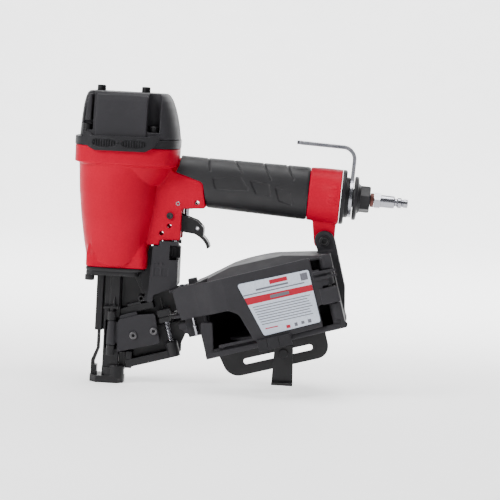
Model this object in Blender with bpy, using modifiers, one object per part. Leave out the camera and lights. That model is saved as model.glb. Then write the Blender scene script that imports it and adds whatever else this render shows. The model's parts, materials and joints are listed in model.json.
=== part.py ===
"""A pneumatic coil roofing nailer, built as the pieces it comes apart into on a bench.

Lengths below are in millimetres and MM turns them into metres.  The working frame has +Z up along the
driver's axis, +X towards the rear of the handle and +Y away from the side that the magazine cover is on.
Two tilted frames carry the rest: the handle frame runs along the grip, and the magazine frame follows the
slope of the nail strip.  The last step moves the working frame, so that the origin is at the bottom centre.
"""

import math

import bmesh
import bpy
from mathutils import Matrix, Vector

MM = 0.001
GAP = 0.3  # clearance between separate pieces that touch on the real tool

# Frames: each is (x, z) of its origin and its slope about the Y axis.
MAGAZINE_ORIGIN, MAGAZINE_SLOPE = (0.0, 45.0), -16.0
HANDLE_ORIGIN, HANDLE_SLOPE = (58.5, 185.9), 2.85
BOX_CENTRE = (109.716, 1.2)  # centre of the whole tool in x and y, where the origin goes

# Barrel and head
BARREL = [(108, 26.6), (127, 30.6), (149, 34.0), (172, 36.8), (203, 38.6)]
FOOT_LOW, BORE_FLOOR = 105.5, 110.0
BASE_HALF, BASE_CORNER = 27.3, 7.0
HEAD_X, HEAD_HALF_X, HEAD_HALF_Y, HEAD_POWER = 6.6, 46.6, 40.0, 3.2
COLLAR_LOW, COLLAR_HIGH, BAND_HIGH, CAP_HIGH = 199.0, 214.0, 221.7, 262.2
BORE_LOW, BORE_HIGH, CAVITY_HIGH = 25.0, 31.0, 250.0
CAP_SCREWS = [(-28.0, -28.0), (31.0, -28.0), (-28.0, 28.0), (31.0, 28.0)]
COVER_SCREWS = [-20.0, 20.0]
RECESS = 5.6
NOSE_SCREWS = [(-20.5, -20.5), (-20.5, 20.5)]

# Drive parts
SLEEVE_IN, SLEEVE_OUT, PISTON_LOW, PISTON_HIGH = 22.0, 24.6, 188.0, 200.0
BLADE_RADIUS, BLADE_TIP, CHANNEL = 2.8, 62.0, 5.25

# Handle, in its own frame: x along the grip, z across it
CORE_HALF_Y, CORE_HALF_Z, GRIP_SKIN = 14.6, 19.6, 2.8
GRIP_END, HANDLE_END, END_RADIUS = 112.0, 141.0, 24.4
VALVE_X = 62.0
TRIGGER_PIVOT = (48.2, 154.2)
TRIP_PIVOT = (72.9, 143.8)
EAR_HOLES = [(71.8, 167.0), (48.0, 145.0), (41.3, 138.0)]
LUG = (187.1, 139.3)

# Nose
NOSE_TOP, FLANGE_LOW, NOSE_LOW, ARM_TRAVEL = 105.2, 98.5, 7.2, 7.0
FOOT_BOSS = 16.0
PIN_X, PIN_Y = 0.3, -12.5
LATCH_U = 49.5
WHEEL_X, ARM_SPRING_X = 51.5, 37.0

# Magazine, in its own frame: x along the nail strip, z along the coil's axis
DRUM_U, DRUM_HALF_U, DRUM_HALF_Y, DRUM_FRONT_Y = 147.0, 62.0, 57.0, -47.0
DRUM_LOW, DRUM_HIGH, WALL = -36.0, 28.5, 2.8
HINGE_U, HINGE_Y = 203.0, -44.0
ARM_PIVOT = (205.8, 39.0)
PAWL_PIVOT = (60.9, 7.2)
GAUGE_Y, GAUGE_SLOT_W = -30.0, -49.0
GAUGE_SCREW_U = 149.1

BLACK = dict(color=(0.028, 0.028, 0.031), roughness=0.5, metallic=0.0)
MATERIALS = {
    "red_paint": dict(color=(0.62, 0.006, 0.018), roughness=0.35, metallic=0.0),
    "black_plastic": BLACK,
    "grey_plastic": dict(color=(0.062, 0.060, 0.066), roughness=0.5, metallic=0.0),
    "rubber": dict(color=(0.022, 0.022, 0.024), roughness=0.8, metallic=0.0),
    "black_steel": dict(color=(0.035, 0.035, 0.038), roughness=0.42, metallic=0.6),
    "steel": dict(color=(0.62, 0.62, 0.64), roughness=0.28, metallic=1.0),
    "aluminium": dict(color=(0.72, 0.73, 0.75), roughness=0.35, metallic=1.0),
    "bronze": dict(color=(0.30, 0.10, 0.07), roughness=0.5, metallic=0.6),
    "label_paper": dict(color=(0.62, 0.70, 0.76), roughness=0.5, metallic=0.0),
}


def clear_scene():
    for obj in list(bpy.data.objects):
        bpy.data.objects.remove(obj)
    for mesh in list(bpy.data.meshes):
        bpy.data.meshes.remove(mesh)


def make_materials():
    for name, look in MATERIALS.items():
        material = bpy.data.materials.new(name)
        material.use_nodes = True
        shader = material.node_tree.nodes["Principled BSDF"]
        shader.inputs["Base Color"].default_value = (*look["color"], 1.0)
        shader.inputs["Roughness"].default_value = look["roughness"]
        shader.inputs["Metallic"].default_value = look["metallic"]
        material.diffuse_color = (*look["color"], 1.0)


def make_frame(name, origin, slope, parent=None):
    """An empty at (x, z), turned about Y by a slope in degrees, that parts are parented to."""
    frame = bpy.data.objects.new(name, None)
    PARTS.objects.link(frame)
    frame.location = (origin[0] * MM, 0, origin[1] * MM)
    frame.rotation_euler = (0, math.radians(slope), 0)
    frame.parent = parent
    return frame


# ---------------------------------------------------------------- shape helpers
UPRIGHT = (0, 0, 0)
SIDEWAYS = (math.pi / 2, 0, 0)  # an outline's y becomes z, and its thickness runs along Y
REARWARD = (0, math.pi / 2, 0)  # a turned shape's axis points along +X
ACROSS = (-math.pi / 2, 0, 0)  # a turned shape's axis points along +Y


def place(obj, frame, at, turn):
    obj.parent = frame
    obj.location = [value * MM for value in at]
    obj.rotation_euler = turn
    bpy.context.view_layer.update()
    return obj


def new_object(name, mesh, frame, at=(0, 0, 0), turn=UPRIGHT):
    obj = bpy.data.objects.new(name, mesh)
    PARTS.objects.link(obj)
    return place(obj, frame, at, turn)


def tidy(mesh, weld=0.00001):
    """Welds coincident points and turns every face outwards."""
    work = bmesh.new()
    work.from_mesh(mesh)
    bmesh.ops.remove_doubles(work, verts=work.verts, dist=weld)
    bmesh.ops.connect_verts_nonplanar(work, angle_limit=0.0005, faces=work.faces)
    bmesh.ops.recalc_face_normals(work, faces=work.faces)
    work.to_mesh(mesh)
    work.free()


def bake(obj):
    """Replaces an object's data with its evaluated mesh, so that it can be cut or joined."""
    bpy.context.view_layer.update()
    evaluated = obj.evaluated_get(bpy.context.evaluated_depsgraph_get())
    mesh = bpy.data.meshes.new_from_object(evaluated)
    tidy(mesh)
    if obj.type == "MESH":
        obj.modifiers.clear()
        obj.data = mesh
        return obj
    solid = new_object("baked", mesh, obj.parent)
    solid.matrix_world = obj.matrix_world
    name = obj.name
    bpy.data.objects.remove(obj)
    solid.name = name
    return solid


def lathe(name, profile, frame=None, at=(0, 0, 0), turn=UPRIGHT, steps=14):
    """A turned solid.  The profile is (radius, height) down its outer side; one that starts and ends on the
    axis makes a solid, and any other closes on itself and makes a ring."""
    mesh = bpy.data.meshes.new(name)
    points = [(radius * MM, 0, height * MM) for radius, height in profile]
    edges = [(i, i + 1) for i in range(len(points) - 1)]
    if profile[0][0] > 0:
        edges.append((len(points) - 1, 0))
    mesh.from_pydata(points, edges, [])
    obj = new_object(name, mesh, frame, at, turn)
    screw = obj.modifiers.new("turn", "SCREW")
    screw.steps = screw.render_steps = steps
    screw.use_merge_vertices = True
    screw.merge_threshold = 0.00001
    return bake(obj)


def rod(name, radius, low, high, frame=None, at=(0, 0, 0), turn=UPRIGHT, steps=8):
    """A plain cylinder from low to high along its axis."""
    mesh = bpy.data.meshes.new(name)
    work = bmesh.new()
    middle = Matrix.Translation((0, 0, (low + high) / 2 * MM))
    bmesh.ops.create_cone(
        work, cap_ends=True, segments=steps, radius1=radius * MM, radius2=radius * MM,
        depth=(high - low) * MM, matrix=middle,
    )
    work.to_mesh(mesh)
    work.free()
    return new_object(name, mesh, frame, at, turn)


def ring(name, inner, outer, low, high, frame=None, at=(0, 0, 0), turn=UPRIGHT, steps=16):
    profile = [(inner, high), (outer, high), (outer, low), (inner, low)]
    return lathe(name, profile, frame, at, turn, steps)


def plate(name, outline, low, high, frame=None, turn=UPRIGHT, holes=()):
    """A flat outline, with holes in it, that fills the thickness from low to high."""
    curve = bpy.data.curves.new(name, "CURVE")
    curve.dimensions = "2D"
    curve.fill_mode = "BOTH"
    curve.extrude = (high - low) / 2 * MM
    for loop in [outline, *holes]:
        spline = curve.splines.new("POLY")
        spline.points.add(len(loop) - 1)
        for point, (x, y) in zip(spline.points, loop):
            point.co = (x * MM, y * MM, 0, 1)
        spline.use_cyclic_u = True
    middle = (low + high) / 2
    at = {SIDEWAYS: (0, middle, 0), REARWARD: (middle, 0, 0)}.get(turn, (0, 0, middle))
    return bake(new_object(name, curve, frame, at, turn))


def box(name, low, high, frame=None):
    """A block between two corners."""
    mesh = bpy.data.meshes.new(name)
    work = bmesh.new()
    size = [(b - a) * MM for a, b in zip(low, high)]
    bmesh.ops.create_cube(work, size=1.0, matrix=Matrix.Diagonal((*size, 1.0)))
    work.to_mesh(mesh)
    work.free()
    middle = [(a + b) / 2 for a, b in zip(low, high)]
    return new_object(name, mesh, frame, middle)


def loft(name, rings, frame=None):
    """A closed skin through rings of points, all with the same count, capped at both ends."""
    count = len(rings[0])
    points = [[value * MM for value in point] for row in rings for point in row]
    faces = []
    for row in range(len(rings) - 1):
        for i in range(count):
            here, after = row * count + i, row * count + (i + 1) % count
            faces.append((here, after, after + count, here + count))
    faces.append(tuple(range(count)))
    faces.append(tuple(range((len(rings) - 1) * count, len(rings) * count)))
    mesh = bpy.data.meshes.new(name)
    mesh.from_pydata(points, [], faces)
    tidy(mesh)
    return new_object(name, mesh, frame)


def wire(name, points, radius, frame=None, at=(0, 0, 0), turn=UPRIGHT, sides=0):
    """A round bar bent through a list of points."""
    curve = bpy.data.curves.new(name, "CURVE")
    curve.dimensions = "3D"
    curve.bevel_depth = radius * MM
    curve.bevel_resolution = sides
    curve.use_fill_caps = True
    spline = curve.splines.new("POLY")
    spline.points.add(len(points) - 1)
    for point, place_at in zip(spline.points, points):
        point.co = (*[value * MM for value in place_at], 1)
    return bake(new_object(name, curve, frame, at, turn))


def coil(name, radius, gauge, low, high, turns, frame=None, at=(0, 0, 0), turn=UPRIGHT):
    """A compression spring whose end turns lie closed."""
    per_turn = 6
    count = turns * per_turn
    end_climb = 2.3 * gauge
    middle_climb = high - low - 2 * gauge - 2 * end_climb
    points = []
    for i in range(count + 1):
        first = min(i, per_turn) / per_turn
        last = max(0, i - count + per_turn) / per_turn
        middle = min(max(i - per_turn, 0), count - 2 * per_turn) / (count - 2 * per_turn)
        height = low + gauge + end_climb * (first + last) + middle_climb * middle
        angle = 2 * math.pi * i / per_turn
        points.append((radius * math.cos(angle), radius * math.sin(angle), height))
    return wire(name, points, gauge, frame, at, turn)


def combine(obj, operation, *others):
    """Joins other solids to obj, or cuts them from it, in one step, and removes them."""
    group = bpy.data.collections.new(operation)
    for other in others:
        group.objects.link(other)
    modifier = obj.modifiers.new(operation, "BOOLEAN")
    modifier.operation = operation
    modifier.solver = "EXACT"
    modifier.operand_type = "COLLECTION"
    modifier.collection = group
    bpy.context.view_layer.update()
    evaluated = obj.evaluated_get(bpy.context.evaluated_depsgraph_get())
    mesh = bpy.data.meshes.new_from_object(evaluated)
    work = bmesh.new()
    work.from_mesh(mesh)
    bmesh.ops.remove_doubles(work, verts=work.verts, dist=0.0000004)
    bmesh.ops.dissolve_degenerate(work, edges=work.edges, dist=0.0000004)
    bmesh.ops.dissolve_limit(work, angle_limit=0.0002, verts=work.verts, edges=work.edges)
    work.to_mesh(mesh)
    work.free()
    obj.modifiers.clear()
    obj.data = mesh
    bpy.data.collections.remove(group)
    for other in others:
        bpy.data.objects.remove(other)
    return obj


def join(obj, *others):
    return combine(obj, "UNION", *others)


def cut(obj, *others):
    return combine(obj, "DIFFERENCE", *others)


def keep(obj, *others):
    return combine(obj, "INTERSECT", *others)


def finish(obj, material, angle=35):
    """Gives a piece its material and shades its round faces smooth."""
    obj.data.materials.clear()
    obj.data.materials.append(bpy.data.materials[material])
    obj.data.shade_smooth()
    obj.data.set_sharp_from_angle(angle=math.radians(angle))
    return obj


# ---------------------------------------------------------------- outlines
def rounded(corners, steps=2):
    """A closed outline from (x, y, radius) corners, each rounded by an arc of at most that radius."""
    outline = []
    count = len(corners)
    for i, (x, y, radius) in enumerate(corners):
        here = Vector((x, y))
        before = Vector(corners[i - 1][:2]) - here
        after = Vector(corners[(i + 1) % count][:2]) - here
        half = before.angle(after) / 2
        reach = min(radius / math.tan(half), before.length * 0.48, after.length * 0.48)
        if reach < 0.01:
            outline.append((x, y))
            continue
        radius = reach * math.tan(half)
        centre = here + (before.normalized() + after.normalized()).normalized() * (radius / math.sin(half))
        start = here + before.normalized() * reach - centre
        end = here + after.normalized() * reach - centre
        first = math.atan2(start.y, start.x)
        sweep = math.remainder(math.atan2(end.y, end.x) - first, 2 * math.pi)
        for step in range(steps + 1):
            angle = first + sweep * step / steps
            outline.append((centre.x + radius * math.cos(angle), centre.y + radius * math.sin(angle)))
    return outline


def rectangle(low, high, radius=0.0, steps=2):
    """A rectangle between two (x, y) corners, with rounded corners."""
    (x0, y0), (x1, y1) = low, high
    return rounded([(x0, y0, radius), (x1, y0, radius), (x1, y1, radius), (x0, y1, radius)], steps)


def squircle(centre, half_x, half_y, power, count=24):
    """A rounded rectangle from a superellipse; power 2 is an ellipse, and more is squarer."""
    outline = []
    for i in range(count):
        angle = 2 * math.pi * (i + 0.5) / count
        x, y = math.cos(angle), math.sin(angle)
        scale = (abs(x) ** power + abs(y) ** power) ** (-1 / power)
        outline.append((centre + half_x * x * scale, half_y * y * scale))
    return outline


def circle(x, y, radius, count=16, phase=0.0):
    """A round or many-sided outline, turned by a phase in degrees."""
    angles = [2 * math.pi * i / count + math.radians(phase) for i in range(count)]
    return [(x + radius * math.cos(a), y + radius * math.sin(a)) for a in angles]


def slot(x0, x1, y, radius, steps=6):
    """A hole with round ends, along x."""
    return rectangle((x0, y - radius), (x1, y + radius), radius * 0.999, steps)


def head_outline(grow=0.0, count=24):
    """The head's plan at the collar, widened all round by grow."""
    return squircle(HEAD_X, HEAD_HALF_X + grow, HEAD_HALF_Y + grow, HEAD_POWER, count)


def oval_rings(stations, count=18, power=2.2):
    """Rings across the handle's length, from (x, half width, half height) stations."""
    rings = []
    for x, half_y, half_z in stations:
        rings.append([(x, y, z) for y, z in squircle(0.0, half_y, half_z, power, count)])
    return rings


def magazine_point(u, w):
    """(x, z) in the working frame of a point in the magazine's frame."""
    slope = math.radians(-MAGAZINE_SLOPE)
    x = MAGAZINE_ORIGIN[0] + u * math.cos(slope) - w * math.sin(slope)
    z = MAGAZINE_ORIGIN[1] + u * math.sin(slope) + w * math.cos(slope)
    return x, z


# ---------------------------------------------------------------- casting and grip
WEB = [
    (18, 127.2, 0), (40, 127.2, 0), (40, 131.6, 0), (58.6, 132.6, 2), (58.6, 161.2, 2),
    (79.8, 162.2, 2), (75.6, 185.2, 5), (49.5, 194.0, 2), (44, 201, 0), (18, 201, 0),
]


def make_housing():
    """The cast body: barrel, square foot, head collar, trigger ears, handle core and magazine lug."""
    profile = [(0, BARREL[-1][0])] + [(r, z) for z, r in reversed(BARREL)] + [(0, BARREL[0][0])]
    body = lathe("housing", profile, steps=20)
    foot_rings = []
    for z, half in [(FOOT_LOW, BASE_HALF), (114, BASE_HALF), (135, 21.3)]:
        outline = rectangle((-half, -half), (half, half), BASE_CORNER, 2)
        foot_rings.append([(x, y, z) for x, y in outline])
    foot = loft("foot", foot_rings)
    neck = squircle(5.0, 36.0, 31.0, 2.2)
    levels = [(COLLAR_LOW - 18, neck), (COLLAR_LOW, head_outline()), (COLLAR_HIGH, head_outline())]
    collar = loft("collar", [[(x, y, z) for x, y in outline] for z, outline in levels])
    web = plate("web", rounded(WEB), -15.2, 15.2, turn=SIDEWAYS)
    core = loft(
        "core",
        oval_rings([(-32, CORE_HALF_Y, CORE_HALF_Z), (GRIP_END + 5, CORE_HALF_Y, CORE_HALF_Z)]),
        HANDLE,
    )
    tail_stations = [
        (GRIP_END + GAP, 18.2, 23.6), (124, 20.5, 24.3), (135, 23.4, END_RADIUS),
        (HANDLE_END, 23.9, END_RADIUS),
    ]
    tail = loft("tail", oval_rings(tail_stations, power=2.1), HANDLE)
    lug_outline = rounded([
        (174.6, 165, 0), (197.5, 165, 0), (196.2, 150, 3), (LUG[0] + 8.6, LUG[1] - 8.6, 8.4),
        (LUG[0] - 8.6, LUG[1] - 8.6, 8.4), (176.0, 150, 3),
    ])
    lug = plate("lug", lug_outline, -6.0, 6.0, turn=SIDEWAYS)
    join(body, foot, collar, web, core, tail, lug)
    hollow_housing(body)
    return finish(body, "red_paint")


def hollow_housing(body):
    """Cuts the cylinder bore, air passage, trigger slot, valve seat and screw holes."""
    bore = [
        (0, 216), (BORE_HIGH, 216), (BORE_HIGH, 166), (BORE_LOW, 160), (BORE_LOW, BORE_FLOOR),
        (12, BORE_FLOOR), (12, 90), (0, 90),
    ]
    cutters = [
        lathe("bore", bore, steps=16),
        loft("air", oval_rings([(-30, 10.8, 14.6), (HANDLE_END + 6, 10.8, 14.6)], 12), HANDLE),
        box("trigger_slot", (36, -9.4, 120), (66, 9.4, 159.8)),
        rod("valve_seat", 8.5, 150, 176, at=(VALVE_X, 0, 0), steps=12),
        rod("lug_bore", 3.1, -9, 9, at=(LUG[0], 0, LUG[1]), turn=ACROSS),
        rod("pivot_bore", 2.35, -20, 20, at=(TRIGGER_PIVOT[0], 0, TRIGGER_PIVOT[1]), turn=ACROSS, steps=12),
    ]
    for x, z in EAR_HOLES:
        cutters.append(rod("ear_hole", 2.0, -20, 20, at=(x, 0, z), turn=ACROSS, steps=10))
    for x, y in CAP_SCREWS:
        cutters.append(rod("cap_hole", 2.9, COLLAR_HIGH - 12, COLLAR_HIGH + 4, at=(x, y, 0), steps=12))
    for x, y in NOSE_SCREWS:
        cutters.append(rod("nose_hole", 2.8, 90, FOOT_LOW + 9, at=(x, y, 0), steps=12))
    cut(body, *cutters[:4])
    cut(body, *cutters[4:])


def make_grip():
    """The rubber sleeve on the handle, cut away at the front where the casting shows."""
    skin = [
        (-14, CORE_HALF_Y + GRIP_SKIN, 22.0), (20, CORE_HALF_Y + GRIP_SKIN, 22.2),
        (60, CORE_HALF_Y + 3.4, 22.9),
        (GRIP_END - 2, CORE_HALF_Y + 4.2, 23.7), (GRIP_END, CORE_HALF_Y + 3.6, 23.1),
    ]
    grip = loft("handle_grip", oval_rings(skin), HANDLE)
    gap = GAP + 0.05
    cut(grip, loft("inside", oval_rings([(-40, CORE_HALF_Y + gap, CORE_HALF_Z + gap),
                                         (GRIP_END + 20, CORE_HALF_Y + gap, CORE_HALF_Z + gap)]), HANDLE))
    clear = [
        (-10, 120, 0), (59.0, 120, 0), (59.0, 161.9, 0), (80.4, 161.9, 0), (76.1, 185.5, 5),
        (51.6, 193.8, 0), (54.0, 199.2, 0), (55.4, 208.4, 0), (58, 240, 0), (-10, 240, 0),
    ]
    cut(grip, plate("front", rounded(clear), -40, 40, turn=SIDEWAYS))
    return finish(grip, "rubber")


# ---------------------------------------------------------------- head
def make_head():
    """The exhaust cap, the band under it with its two vents, and their screws."""
    stations = [(BAND_HIGH + GAP, 7.2, 45.2, 38.8), (240, 6.6, 42.2, 36.8), (256, 5.4, 38.4, 34.2),
                (CAP_HIGH - 1.6, 4.9, 36.6, 32.6), (CAP_HIGH, 4.9, 34.6, 30.6)]
    cap = loft("head_cap", [[(x, y, z) for x, y in squircle(c, hx, hy, 3.4)] for z, c, hx, hy in stations])
    cutters = [rod("cavity", BORE_HIGH + 0.4, 210, CAVITY_HIGH, steps=20)]
    for x, y in CAP_SCREWS:
        side = 1 if y > 0 else -1
        near, far = sorted([y - side * RECESS, y + side * 20])
        recess = rectangle((x - RECESS, near), (x + RECESS, far), RECESS - 0.1)
        cutters.append(plate("recess", recess, 228, 280))
        cutters.append(rod("shank", 2.9, 215, 235, at=(x, y, 0)))
    for x in COVER_SCREWS:
        cutters.append(rod("shank", 2.4, CAP_HIGH - 8, CAP_HIGH + 4, at=(x, 0, 0)))
    cut(cap, *cutters)
    finish(cap, "black_plastic")

    band = plate("cap_band", head_outline(0.4), COLLAR_HIGH + GAP, BAND_HIGH)
    cutters = [rod("opening", BORE_HIGH + 0.4, 205, 230, steps=20)]
    for x, y in CAP_SCREWS:
        cutters.append(rod("shank", 2.9, 205, 235, at=(x, y, 0)))
    cut(band, *cutters)
    finish(band, "black_plastic")

    for side, name in [(-1, "exhaust_grille_left"), (1, "exhaust_grille_right")]:
        make_grille(name, side)
    for number, (x, y) in enumerate(CAP_SCREWS, 1):
        make_screw(f"cap_screw_{number}", (x, y, 0), head=(228.3, 233.3), tip=COLLAR_HIGH - 10)
    cover_head = (CAP_HIGH + GAP, CAP_HIGH + 5.3)
    for x, name in zip(COVER_SCREWS, ["cover_screw_front", "cover_screw_rear"]):
        make_screw(name, (x, 0, 0), head=cover_head, tip=CAP_HIGH - 7, shank=2.1, radius=3.9)


def make_grille(name, side):
    """A shield that follows the head's side and drops over the collar, with two rows of exhaust slots."""
    low, high, mid = 209.6, BAND_HIGH + 0.2, HEAD_X - 4.2
    shield = plate(name, head_outline(3.4), low, high, holes=[head_outline(0.8)])
    lobe = rounded([
        (mid - 37.5, high + 4, 0), (mid + 37.5, high + 4, 0), (mid + 37.5, high - 5, 3),
        (mid + 26, low + 0.02, 6), (mid - 26, low + 0.02, 6), (mid - 37.5, high - 5, 3),
    ])
    near, far = (-60, -20) if side < 0 else (20, 60)
    keep(shield, plate("lobe", lobe, near, far, turn=SIDEWAYS))
    vents = []
    for vent in (-1, 1):
        for step in range(5):
            x = mid + vent * (4.6 + step * 4.5)
            reach = 3.4 if step in (0, 4) else 4.2
            vents.append(box("vent", (x - 1.2, near, 215 - reach), (x + 1.2, far, 215 + reach)))
    cut(shield, *vents)
    return finish(shield, "black_plastic")


def make_screw(name, at, head, tip, shank=2.5, radius=4.3, turn=UPRIGHT, socket=2.3):
    """A socket-head screw: head is (low, high) along its axis, and tip is where the shank ends."""
    low, high = head
    outward = 1 if tip < low else -1
    under, top = (low, high) if outward > 0 else (high, low)
    profile = [
        (0, top - outward * 2.4), (socket, top - outward * 2.4), (socket, top), (radius - 0.5, top),
        (radius, top - outward * 0.5), (radius, under), (shank, under), (shank, tip), (0, tip),
    ]
    screw = lathe(name, profile, None, at, turn, steps=8)
    return finish(screw, "black_steel")


# ---------------------------------------------------------------- drive and valves
def make_drive():
    """Cylinder sleeve, piston with its seal and driver blade, bumper and head valve."""
    sleeve = [
        (SLEEVE_IN, 203), (30.6, 203), (30.6, 199), (SLEEVE_OUT, 197), (SLEEVE_OUT, 113), (SLEEVE_IN, 113),
    ]
    finish(lathe("cylinder_sleeve", sleeve, steps=16), "aluminium")
    groove = (PISTON_LOW + PISTON_HIGH) / 2
    socket = BLADE_RADIUS + GAP
    piston = [
        (0, PISTON_HIGH), (21.6, PISTON_HIGH), (21.6, groove + 1.9), (18.2, groove + 1.9),
        (18.2, groove - 1.9),
        (21.6, groove - 1.9), (21.6, PISTON_LOW), (8, PISTON_LOW), (8, PISTON_LOW - 4),
        (socket, PISTON_LOW - 4), (socket, PISTON_LOW + 6), (0, PISTON_LOW + 6),
    ]
    finish(lathe("piston", piston, steps=16), "aluminium")
    seal = list(reversed(circle(20.15, groove, 1.6, 6)))
    finish(lathe("piston_seal", seal, steps=16), "rubber")
    finish(rod("driver_blade", BLADE_RADIUS, BLADE_TIP, PISTON_LOW + 5.7, steps=16), "steel")
    bumper = [
        (9.5, 122), (16, 124), (21.5, 119), (21.5, 115), (20.4, 112.5), (21.5, BORE_FLOOR + GAP),
        (4.4, BORE_FLOOR + GAP), (4.4, 116), (9.5, 116),
    ]
    finish(lathe("bumper", bumper, steps=16), "rubber")
    valve = [
        (6, 216), (29.8, 216), (30.5, 214), (30.5, 208), (27, 205), (27, 203 + GAP),
        (SLEEVE_IN + 0.6, 203 + GAP),
        (18, 206), (6, 206),
    ]
    finish(lathe("head_valve", valve, steps=16), "black_plastic")
    finish(coil("head_valve_spring", 14, 1.2, 216.4, 249.6, 4), "steel")


def make_trigger_valve():
    """The valve that the trigger lifts, in its seat in the handle."""
    at = (VALVE_X, 0, 0)
    body = [(6.3, 175), (8.0, 175), (8.0, 162), (6.0, 160.6), (2.6, 160.6), (2.6, 170), (6.3, 170)]
    finish(lathe("trigger_valve_body", body, at=at, steps=12), "aluminium")
    stem = [(0, 172.6), (5.8, 172.6), (5.8, 170.4), (2.2, 170.4), (2.2, 154), (1.4, 153.2), (0, 153.2)]
    finish(lathe("trigger_valve_stem", stem, at=at, steps=16), "steel")
    finish(coil("trigger_valve_spring", 4.2, 0.6, 172.9, 183.4, 3, at=at), "steel")


# ---------------------------------------------------------------- trigger
def make_trigger():
    """A folded steel trigger, the trip lever inside it and their pins."""
    px, pz = TRIGGER_PIVOT
    side = rounded([
        (px - 5.4, pz - 5.4, 5), (59.6, 139.9, 2), (69.5, 139.0, 3), (78.4, 132.2, 0.6), (78.3, 144.6, 4),
        (72.6, 150.6, 4), (60.0, 154.8, 3), (px - 5.4, pz + 5.4, 5),
    ])
    cheeks = plate("trigger", side, -8.6, 8.6, turn=SIDEWAYS)
    finger = [(59.0, 143.2), (59.0, 140.7)]
    finger += [(59 + 23.4 * math.sin(t), 140.7 - 17.0 * (1 - math.cos(t))) for t in steps_of(0.25, 1.45, 6)]
    finger += [
        (61.0 + 23.8 * math.sin(t), 142.6 - 17.6 * (1 - math.cos(t)))
        for t in steps_of(1.45, 0.25, 6)
    ]
    pad = plate("pad", finger, -8.6, 8.6, turn=SIDEWAYS)
    inside = rounded([
        (30, 120, 0), (58.6, 120, 0), (58.6, 141.9, 0), (68.2, 141.4, 2), (76.4, 136.4, 1),
        (76.4, 200, 0), (30, 200, 0),
    ])
    hollow = plate("hollow", inside, -6.8, 6.8, turn=SIDEWAYS)
    trigger = cut(cheeks, hollow)
    join(trigger, pad)
    cut(trigger, rod("pivot", 2.3, -12, 12, at=(px, 0, pz), turn=ACROSS, steps=16))
    cut(trigger, rod("trip", 1.9, -12, 12, at=(TRIP_PIVOT[0], 0, TRIP_PIVOT[1]), turn=ACROSS, steps=12))
    finish(trigger, "black_steel")
    pin = [
        (0, 17.4), (3.0, 17.4), (3.0, 15.5), (2.0, 15.5), (2.0, -15.5), (3.0, -15.5), (3.0, -17.4),
        (0, -17.4),
    ]
    finish(lathe("trigger_pin", pin, at=(px, 0, pz), turn=ACROSS, steps=16), "rubber")
    tube = [(1.0, 8.9), (1.6, 8.9), (1.6, -8.9), (1.0, -8.9)]
    trip_at = (TRIP_PIVOT[0], 0, TRIP_PIVOT[1])
    finish(lathe("trip_lever_pin", tube, at=trip_at, turn=ACROSS, steps=16), "steel")
    lever = rounded([
        (TRIP_PIVOT[0] + 3.0, TRIP_PIVOT[1] - 3.0, 3), (TRIP_PIVOT[0] + 3.0, TRIP_PIVOT[1] + 3.0, 3),
        (62, 147.4, 2), (50.8, 144.6, 1), (50.8, 142.4, 1), (60, 143.9, 2),
    ])
    arm = plate("trip_lever", lever, -2.6, 2.6, turn=SIDEWAYS)
    cut(arm, rod("eye", 1.9, -6, 6, at=(TRIP_PIVOT[0], 0, TRIP_PIVOT[1]), turn=ACROSS, steps=12))
    finish(arm, "black_steel")


def steps_of(start, end, count):
    return [start + (end - start) * i / count for i in range(count + 1)]


# ---------------------------------------------------------------- handle end
def make_handle_end():
    """End cap, swivel hook, swivel flange and the air plug, all on the handle's axis."""
    end = HANDLE_END + GAP
    cap = [
        (8.4, 151.2), (12.4, 151.2), (12.4, 148.2), (17.4, 148.2), (18.1, 147.5), (18.1, 145.2),
        (23.2, 145.2),
        (END_RADIUS, 144.0), (END_RADIUS, end), (8.4, end),
    ]
    finish(lathe("end_cap", cap, HANDLE, turn=REARWARD, steps=20), "black_plastic")
    make_hook()
    flange = [
        (4.6, 167.3), (10.4, 167.3), (10.4, 159.0), (12.2, 158.4), (13.0, 157.0), (18.4, 156.0),
        (19.6, 154.6),
        (19.6, 152.9), (18.4, 152.2), (8.1, 152.2), (8.1, 142.5), (4.6, 142.5),
    ]
    swivel = lathe("swivel_flange", flange, HANDLE, turn=REARWARD, steps=20)
    nut = plate("nut", circle(0, 0, 12.3, 6, 12), 158.2, 167.3, HANDLE, REARWARD)
    nut = cut(nut, rod("nut_bore", 9.0, 150, 175, HANDLE, turn=REARWARD))
    join(swivel, nut)
    finish(swivel, "black_plastic")
    thread = [(3.0, 170.8), (6.3, 170.8), (6.3, 167.6), (4.3, 167.6), (4.3, 158), (3.0, 158)]
    finish(lathe("thread_bush", thread, HANDLE, turn=REARWARD, steps=12), "bronze")
    plug = [
        (2.2, 201.4), (3.2, 201.4), (3.55, 200.8), (3.55, 196.2), (4.65, 195.4), (4.65, 193.0),
        (3.7, 192.0), (3.7, 189.6),
        (5.6, 186.8), (5.6, 177.0), (5.2, 176.6), (5.2, 171.1), (2.7, 171.1), (2.7, 162), (2.2, 162),
    ]
    air_plug = lathe("air_plug", plug, HANDLE, turn=REARWARD, steps=12)
    hexagon = plate("hexagon", circle(0, 0, 7.6, 6, 20), 171.1, 176.8, HANDLE, REARWARD)
    cut(hexagon, rod("plug_bore", 3.6, 165, 180, HANDLE, turn=REARWARD))
    finish(join(air_plug, hexagon), "steel")


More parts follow.
